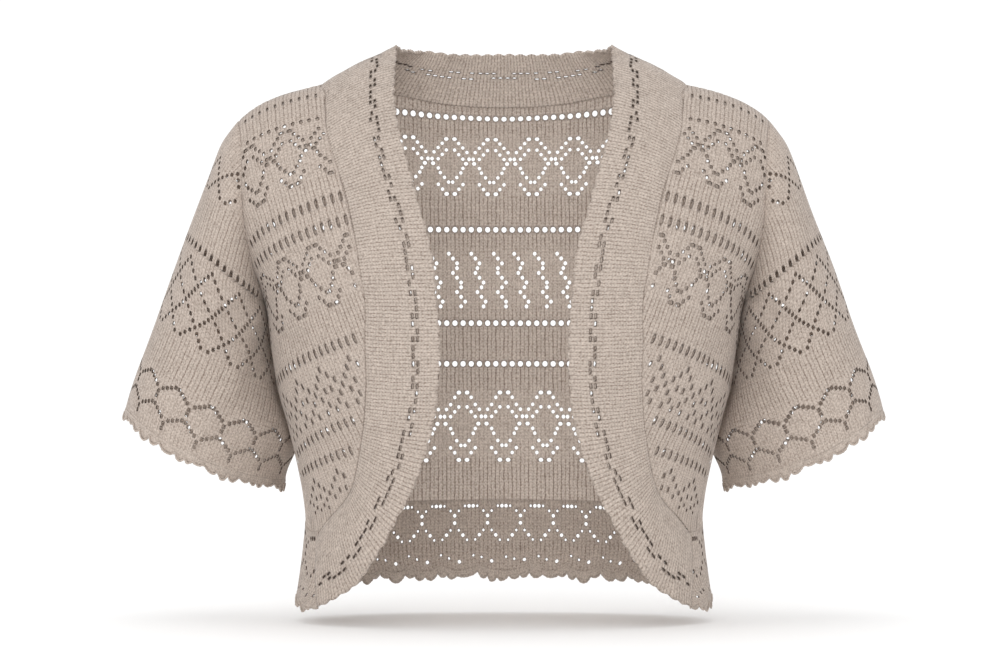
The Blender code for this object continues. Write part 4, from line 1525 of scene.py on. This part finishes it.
@dataclass
class Band:
    """The ribbed band round the back neck and down both fronts, with its zigzag of small eyelets."""

    form: Form
    yarn: bpy.types.Material
    rib_pitch: float = 2.9
    rib_depth: float = 0.55
    cells: int = 34
    eyelets_in: float = 17.5
    eyelet_sway: float = 4.0
    eyelet_spacing: float = 6.0
    sway_length: float = 24.0
    seam_sinks: float = 1.1
    seam_reach: float = 1.8
    curl_from: float = 0.72
    nibble_from: float = 0.85
    nibble_depth: float = 1.6
    nibble_pitch: float = 11.5

    def surface(self) -> tuple:
        """Points along and across the band for the wearer's left, with their place in the knit.

        Returns:
            The points, their places in the knit, the running length of each rib and the width at each rib.
        """
        form = self.form
        total = form.band_keys[-1]
        along = np.linspace(0.0, total, 2 * round(total / self.rib_pitch) + 1)
        seam, edge = form.band_seam(along), form.band_edge(along)
        across = edge - seam
        width = np.linalg.norm(across, axis=1)
        tangent = np.gradient((seam + edge) / 2, axis=0)
        out = np.cross(across, tangent)
        out /= np.linalg.norm(out, axis=1)[:, None]
        t = np.linspace(-0.01, 1, self.cells + 1)
        bow = hermite(form.band_keys, form.bows, along)[:, None] * np.sin(math.pi * t)[None]
        curl = np.clip((t - self.curl_from) / (1 - self.curl_from), 0, 1) ** 2
        wave = wander(along, Wave(1.3, 9.5), Wave(0.9, 5.3, 1.0))
        bow = bow + curl[None] * wave[:, None]
        bow -= self.seam_sinks * np.exp(-((t[None] * width[:, None] / self.seam_reach) ** 2))
        nibble = np.clip((t - self.nibble_from) / (1 - self.nibble_from), 0, 1) * self.nibble_depth
        scallops = np.abs(np.sin(math.pi * along / self.nibble_pitch + np.sin(along / 31))) - 0.6
        reach = t[None] * width[:, None] + nibble[None] * scallops[:, None]
        way = across / width[:, None]
        points = seam[:, None] + way[:, None] * reach[..., None] + out[:, None] * bow[..., None]
        knit = np.stack(np.broadcast_arrays(along[:, None], t[None] * width[:, None]), axis=-1)
        return points, knit, along, width

    def eyelets(self, along: Array, width: Array) -> list:
        """The small slanted eyelets, in a zigzag along the free edge with a mate at every third.

        Args:
            along: The running length of each rib.
            width: The band's width at each rib.

        Returns:
            The Hole rows.
        """
        holes, middle = [], len(along) - 1
        pitch = along[1] - along[0]
        for n in range(int(along[-1] / self.eyelet_spacing)):
            place = (n + 0.5) * self.eyelet_spacing
            wide = float(np.interp(place, along, width))
            swing = self.eyelet_sway * (2 / math.pi) * math.asin(math.sin(2 * math.pi * place / self.sway_length))
            lanes = (swing, -swing) if n % 3 == 1 else (swing,)
            for lane in lanes:
                column = (wide - self.eyelets_in - lane) / wide * self.cells
                holes += [Hole(middle + way * place / pitch, column, Eyelet.SLIT) for way in (1, -1)]
        return holes

    def build(self) -> bpy.types.Object:
        """Makes the band.

        Returns:
            The object.
        """
        points, knit, along, width = self.surface()
        points = np.concatenate([points[:0:-1] * np.array([-1.0, 1.0, 1.0]), points])
        knit = np.concatenate([knit[:0:-1] * np.array([-1.0, 1.0]), knit])
        rows, columns = points.shape[:2]
        count = rows * columns
        ids = np.arange(count).reshape(rows, columns)
        cloth = Cloth(points.reshape(-1, 3), knit.reshape(-1, 2), np.full(count, 9.0), np.zeros((0, 4), int),
                      np.zeros((0, 3), int), np.zeros(count))
        grid = KnitGrid([], wale=float(width.mean()) / self.cells, course=float(along[1]))
        whole = np.ones((rows - 1, columns - 1), bool)
        cloth = grid.knitted(cloth, ids, whole, self.eyelets(along, width), 0, True)
        u, v = cloth.knit[:, 0], cloth.knit[:, 1]
        drift = 0.5 * np.sin(v / 5.2 + np.sin(u / 9.0) * 2) + 0.35 * np.sin(u / 6.1 + v / 8.3)
        rib = np.cos((u + drift) * 2 * math.pi / (2 * along[1]))
        lift = rib * self.rib_depth / 2 * (1 - cloth.rim)
        cloth.points = cloth.points + cloth.normals() * lift[:, None]
        return make_object(cloth, "rib_band", BAND_WALL, self.yarn)


@dataclass
class Line:
    """A run of points along an edge or seam, each with the way down the cloth and the way out of it."""

    points: Array
    down: Array
    out: Array

    @classmethod
    def along(cls, points: Array, near: Array, flip: bool, step: float) -> "Line":
        """Spaces a line evenly.

        Args:
            points: The edge's own points.
            near: The points of the course above it.
            flip: Turns the outward side round.
            step: The spacing.

        Returns:
            The line.
        """
        runs = np.concatenate([[0.0], np.cumsum(np.linalg.norm(np.diff(points, axis=0), axis=1))])
        want = np.linspace(0, runs[-1], max(round(runs[-1] / step), 2) + 1)
        points, near = (np.stack([np.interp(want, runs, p[:, k]) for k in range(3)], axis=1) for p in (points, near))
        down = points - near
        down /= np.linalg.norm(down, axis=1)[:, None]
        tangent = np.gradient(points, axis=0)
        tangent /= np.linalg.norm(tangent, axis=1)[:, None]
        out = np.cross(tangent, down) * (1 if flip else -1)
        return cls(points, down, out / np.linalg.norm(out, axis=1)[:, None])

    def mirrored(self) -> "Line":
        """The same line on the other side of the body."""
        turn = np.array([-1.0, 1.0, 1.0])
        return Line(self.points * turn, self.down * turn, self.out * turn)


@dataclass
class Trim:
    """Small yarn loops set along a line by Geometry Nodes."""

    yarn: bpy.types.Material
    pitch: float
    reach: float
    strand: float

    def tree(self) -> bpy.types.NodeTree:
        """Builds the node tree: a loop of yarn on every point of the resampled line.

        Returns:
            The node tree, with named inputs for its sizes.
        """
        tree = bpy.data.node_groups.new("yarn trim", "GeometryNodeTree")
        face = tree.interface
        face.new_socket("Line", in_out="INPUT", socket_type="NodeSocketGeometry")
        for name in ("Pitch", "Reach", "Strand"):
            face.new_socket(name, in_out="INPUT", socket_type="NodeSocketFloat")
        face.new_socket("Yarn", in_out="INPUT", socket_type="NodeSocketMaterial")
        face.new_socket("Trim", in_out="OUTPUT", socket_type="NodeSocketGeometry")
        given = tree.nodes.new("NodeGroupInput").outputs
        line = add_node(tree, "GeometryNodeMeshToCurve", {}, {"Mesh": given["Line"]})
        even = add_node(tree, "GeometryNodeResampleCurve", {"mode": "LENGTH"},
                        {"Curve": line.outputs["Curve"], "Length": given["Pitch"]})
        tangent = add_node(tree, "GeometryNodeInputTangent", {}, {})
        down = add_node(tree, "GeometryNodeInputNamedAttribute", {"data_type": "FLOAT_VECTOR"}, {"Name": "down"})
        first = add_node(tree, "FunctionNodeAlignRotationToVector", {"axis": "X"}, {"Vector": tangent.outputs[0]})
        turned = add_node(tree, "FunctionNodeAlignRotationToVector", {"axis": "Y", "pivot_axis": "X"},
                          {"Rotation": first.outputs["Rotation"], "Vector": down.outputs["Attribute"]})
        profile = add_node(tree, "GeometryNodeCurvePrimitiveCircle", {},
                           {"Resolution": 6, "Radius": given["Strand"]})
        loop = self.strand_curve(tree, given, self.loop_points())
        tube = add_node(tree, "GeometryNodeCurveToMesh", {},
                        {"Curve": loop, "Profile Curve": profile.outputs[0], "Fill Caps": True})
        jitter = add_node(tree, "FunctionNodeRandomValue", {"data_type": "FLOAT_VECTOR"},
                          {0: (0.88, 0.82, 0.9), 1: (1.1, 1.15, 1.15), "Seed": 4})
        placed = add_node(tree, "GeometryNodeInstanceOnPoints", {},
                          {"Points": even.outputs["Curve"], "Instance": tube.outputs["Mesh"],
                           "Rotation": turned.outputs["Rotation"], "Scale": jitter.outputs[0]})
        whole = add_node(tree, "GeometryNodeRealizeInstances", {}, {"Geometry": placed.outputs[0]})
        smooth = add_node(tree, "GeometryNodeSetShadeSmooth", {}, {"Geometry": whole.outputs[0]})
        done = add_node(tree, "GeometryNodeSetMaterial", {},
                        {"Geometry": smooth.outputs[0], "Material": given["Yarn"]})
        add_node(tree, "NodeGroupOutput", {}, {0: done.outputs[0]})
        return tree

    @staticmethod
    def loop_points() -> tuple:
        """A loop's outline: across as a share of the pitch, down as a share of the reach, then outwards."""
        turns = [math.pi * k / 8 for k in range(9)]
        return tuple((-0.52 * math.cos(turn), math.sin(turn) ** 0.8, 0.2 * math.sin(turn)) for turn in turns)

    @staticmethod
    def strand_curve(tree: bpy.types.NodeTree, given: object, outline: tuple) -> bpy.types.NodeSocket:
        """A curve through the points of an outline, scaled by the pitch, the reach and the strand.

        Args:
            tree: The node tree.
            given: The sockets of the tree's inputs.
            outline: Its points, as shares of the sizes.

        Returns:
            The socket of the curve.
        """
        size = add_node(tree, "ShaderNodeCombineXYZ", {},
                        {0: given["Pitch"], 1: given["Reach"], 2: given["Strand"]})
        count = add_node(tree, "GeometryNodeCurvePrimitiveLine", {}, {"Start": (0, 0, 0), "End": (0, 1, 0)})
        even = add_node(tree, "GeometryNodeResampleCurve", {"mode": "COUNT"},
                        {"Curve": count.outputs[0], "Count": len(outline)})
        index = add_node(tree, "GeometryNodeInputIndex", {}, {})
        place = None
        for k, point in enumerate(outline):
            at = add_node(tree, "FunctionNodeCompare", {"data_type": "INT", "operation": "EQUAL"},
                          {2: index.outputs[0], 3: k})
            pick = add_node(tree, "GeometryNodeSwitch", {"input_type": "VECTOR"},
                            {0: at.outputs[0], "True": point, "False": place or (0, 0, 0)})
            place = pick.outputs[0]
        scaled = add_node(tree, "ShaderNodeVectorMath", {"operation": "MULTIPLY"}, {0: place, 1: size.outputs[0]})
        moved = add_node(tree, "GeometryNodeSetPosition", {},
                         {"Geometry": even.outputs[0], "Position": scaled.outputs[0]})
        return moved.outputs[0]

    def build(self, name: str, lines: list) -> bpy.types.Object:
        """Sets the loops along some lines, as one mesh object.

        Args:
            name: The object's name.
            lines: The Line rows to follow.

        Returns:
            The object.
        """
        mesh = bpy.data.meshes.new(name + "_line")
        points, edges, total = [], [], 0
        for line in lines:
            points.append(line.points)
            edges += [(total + k, total + k + 1) for k in range(len(line.points) - 1)]
            total += len(line.points)
        mesh.from_pydata((np.concatenate(points) * MM).tolist(), edges, [])
        layer = mesh.attributes.new("down", "FLOAT_VECTOR", "POINT")
        layer.data.foreach_set("vector", np.concatenate([line.down for line in lines]).ravel())
        guide = bpy.data.objects.new(name + "_line", mesh)
        bpy.context.scene.collection.objects.link(guide)
        tree = self.tree()
        sockets = {s.name: s.identifier for s in tree.interface.items_tree if s.in_out == "INPUT"}
        made = guide.modifiers.new("trim", "NODES")
        made.node_group = tree
        for key, value in (("Pitch", self.pitch * MM), ("Reach", self.reach * MM), ("Strand", self.strand * MM),
                           ("Yarn", self.yarn)):
            made[sockets[key]] = value
        graph = bpy.context.evaluated_depsgraph_get()
        result = bpy.data.meshes.new_from_object(guide.evaluated_get(graph))
        guide.modifiers.remove(made)
        bpy.data.objects.remove(guide)
        piece = bpy.data.objects.new(name, result)
        bpy.context.scene.collection.objects.link(piece)
        return piece


@dataclass
class Edging:
    """The crocheted edging of the hem and cuffs: a firm strip with a row of small scallops."""

    form: Form
    yarn: bpy.types.Material
    pitch: float = 10.2
    base: float = 1.9
    reach: float = 5.8
    rows: int = 5
    fade: float = 0.0

    def strip(self, line: Line, flip: bool) -> Cloth:
        """The strip that the scallops stand on, along an edge.

        Args:
            line: The edge that it is worked on.
            flip: Turns the faces round.

        Returns:
            The strip as numbers.
        """
        steps = np.linspace(-0.9, 1.0, self.rows + 1)
        runs = np.concatenate([[0.0], np.cumsum(np.linalg.norm(np.diff(line.points, axis=0), axis=1))])
        sway = wander(runs, Wave(1.9, 9.3), Wave(1.4, 5.1, 2.0), Wave(1.2, 17.0, 1.0))
        wave = np.abs(np.sin(math.pi * (runs + sway) / self.pitch)) ** 0.8
        uneven = 1 + wander(runs, Wave(0.3, 6.1), Wave(0.22, 11.3, 1.0))
        depth = self.base + (wave * self.reach * 0.8 * uneven)[:, None]
        if self.fade:
            depth = depth * np.clip(np.minimum(runs, runs[-1] - runs) / self.fade, 0.2, 1.0)[:, None]
        depth = np.where(steps[None] < 0, steps[None] * 1.2, steps[None] * depth)
        points = line.points[:, None] + line.down[:, None] * depth[..., None]
        puff = np.sin(np.clip(steps, 0, 1) * math.pi * 2) * 0.35
        points = points + line.out[:, None] * puff[None, :, None]
        count, columns = points.shape[:2]
        ids = np.arange(count * columns).reshape(count, columns)
        quads = np.stack([ids[:-1, :-1], ids[:-1, 1:], ids[1:, 1:], ids[1:, :-1]], axis=2).reshape(-1, 4)
        knit = np.stack(np.broadcast_arrays(runs[:, None], depth), axis=-1).reshape(-1, 2)
        total = count * columns
        return Cloth(points.reshape(-1, 3), knit, np.full(total, 9.0), quads[:, ::-1] if flip else quads,
                     np.zeros((0, 3), int), np.zeros(total))

    def build(self, name: str, line: Line, flip: bool) -> bpy.types.Object:
        """Makes one edging.

        Args:
            name: The object's name.
            line: The edge that it is worked on.
            flip: Turns the faces round.

        Returns:
            The object.
        """
        strip = make_object(self.strip(line, flip), name, EDGING_WALL, self.yarn)
        foot = Line(self.strip(line, flip).points.reshape(len(line.points), -1, 3)[:, -1], line.down, line.out)
        if self.fade:
            left_out = round(self.fade / 2 / np.linalg.norm(line.points[1] - line.points[0]))
            foot = Line(*(part[left_out:-left_out] for part in (foot.points, foot.down, foot.out)))
        loops = Trim(self.yarn, pitch=2.4, reach=0.75, strand=0.75).build(name + "_loops", [foot])
        return merged(strip, loops)


def merged(shell: bpy.types.Object, extra: bpy.types.Object) -> bpy.types.Object:
    """One object from a thickened shell and a plain mesh, with the shell's thickness made real.

    Args:
        shell: The object with a wall still to be made real.
        extra: The plain mesh to add.

    Returns:
        The first object, with both.
    """
    graph = bpy.context.evaluated_depsgraph_get()
    solid = bpy.data.meshes.new_from_object(shell.evaluated_get(graph))
    shell.modifiers.clear()
    shell.data = solid
    with bpy.context.temp_override(active_object=shell, selected_editable_objects=[shell, extra]):
        bpy.ops.object.join()
    return shell


@dataclass
class Studio:
    """The pale floor, the soft lights and the camera."""

    floor_height: float = -0.4165
    distance: float = 2.6
    eye: float = -0.1888
    lens: float = 116.07
    front_power: float = 46.0
    top_power: float = 5.0
    lamp_size: float = 2.2
    ambient: float = 1.08

    def build(self) -> None:
        """Sets up everything round the garment."""
        self.floor()
        self.world()
        self.light("front", (-0.4, -3.6, 0.35), self.lamp_size, self.front_power)
        self.light("top", (-0.4, -0.6, 2.4), self.lamp_size, self.top_power)
        self.camera()

    def floor(self) -> None:
        """A wide flat floor."""
        reach, rise = 9.0, self.floor_height
        corners = [(-reach, -reach, rise), (reach, -reach, rise), (reach, reach, rise), (-reach, reach, rise)]
        mesh = bpy.data.meshes.new("floor")
        mesh.from_pydata(corners, [], [(0, 1, 2, 3)])
        mesh.materials.append(Matt("white paper", "fdfdfd").build())
        floor = bpy.data.objects.new("floor", mesh)
        bpy.context.scene.collection.objects.link(floor)

    def world(self) -> None:
        """Even white light from all round."""
        world = bpy.data.worlds.new("white room")
        world.use_nodes = True
        ground = world.node_tree.nodes["Background"]
        ground.inputs["Color"].default_value = (1.0, 1.0, 1.0, 1.0)
        ground.inputs["Strength"].default_value = self.ambient
        bpy.context.scene.world = world

    def light(self, name: str, place: tuple, size: float, power: float) -> None:
        """One large soft light, turned to the garment.

        Args:
            name: Its name.
            place: Where it stands, in metres.
            size: How wide it is, in metres.
            power: Its power, in watts.
        """
        lamp = bpy.data.lights.new(name, "AREA")
        lamp.shape, lamp.size, lamp.energy = "SQUARE", size, power
        holder = bpy.data.objects.new(name, lamp)
        holder.location = place
        aim = np.array([0.0, 0.0, self.eye]) - np.array(place)
        flat = math.hypot(aim[0], aim[1])
        holder.rotation_euler = (math.atan2(flat, -aim[2]), 0.0, math.atan2(-aim[0], aim[1]))
        bpy.context.scene.collection.objects.link(holder)

    def camera(self) -> None:
        """A level camera straight in front."""
        lens = bpy.data.cameras.new("camera")
        lens.lens, lens.sensor_width, lens.clip_end = self.lens, 36.0, 50.0
        holder = bpy.data.objects.new("camera", lens)
        holder.location = (0.0, -self.distance, self.eye)
        holder.rotation_euler = (math.pi / 2, 0.0, 0.0)
        bpy.context.scene.collection.objects.link(holder)
        bpy.context.scene.camera = holder


@dataclass
class Shrug:
    """The whole garment, built piece by piece."""

    form: Form = field(default_factory=Form)
    # Each yarn: its light and dark melange colours, then the colour of the painted shade round its eyelets
    lace: Yarn = Yarn("lace_knit_cotton", "d2c5ba", "8a7a6f", "47392f", Stitch.PLAIN)
    rib: Yarn = Yarn("rib_knit_cotton", "d6c9be", "918277", "47392f", Stitch.RIB)
    crochet: Yarn = Yarn("crochet_cotton", "d2c5ba", "8c7d72", "47392f", Stitch.CROCHET)
    edge_step: float = 1.05

    def build(self) -> None:
        """Builds and dresses every piece."""
        lace, rib, crochet = self.lace.build(), self.rib.build(), self.crochet.build()
        panels, band, edging = Panels(self.form, lace), Band(self.form, rib), Edging(self.form, crochet)
        hem_edging = Edging(self.form, crochet, fade=26.0)
        dress(panels.back(), "back")
        dress(band.build(), "band")
        foot = dress(hem_edging.build("crochet_hem", self.hem_line(), True), "hem_edging")
        dress(panels.border(), "hem_border")
        for side, word in ((1, "left"), (-1, "right")):
            dress(panels.front(side), f"front_{word}")
            line = self.cuff_line() if side > 0 else self.cuff_line().mirrored()
            cuff = edging.build(f"crochet_cuff_{word}", line, side < 0)
            dress(cuff, f"cuff_edging_{word}")
            dress(panels.sleeve(side), f"sleeve_{word}")

    def hem_line(self) -> Line:
        """The lower edge of the hem border, from the wearer's right to the left.

        Returns:
            The line.
        """
        s = np.linspace(0, 1, 1200)
        panels = Panels(self.form, None)
        edge, near = (panels.whole(panels.hem_course(at))(s) for at in (1.0, 0.93))
        return Line.along(edge, near, True, self.edge_step)

    def cuff_line(self) -> Line:
        """The lower edge of the left sleeve, round the arm.

        Returns:
            The line.
        """
        s = np.linspace(0, 1, 900)
        edge, near = (self.form.sleeve_course(at)(s) for at in (1.0, 0.97))
        return Line.along(edge, near, False, self.edge_step)


def main() -> None:
    """Builds the garment and its studio."""
    logging.basicConfig(level=logging.INFO, format="%(name)s: %(message)s")
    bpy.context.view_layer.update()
    Shrug().build()
    Studio().build()
    bpy.context.scene.view_settings.view_transform = "Standard"


if __name__ == "__main__":
    main()
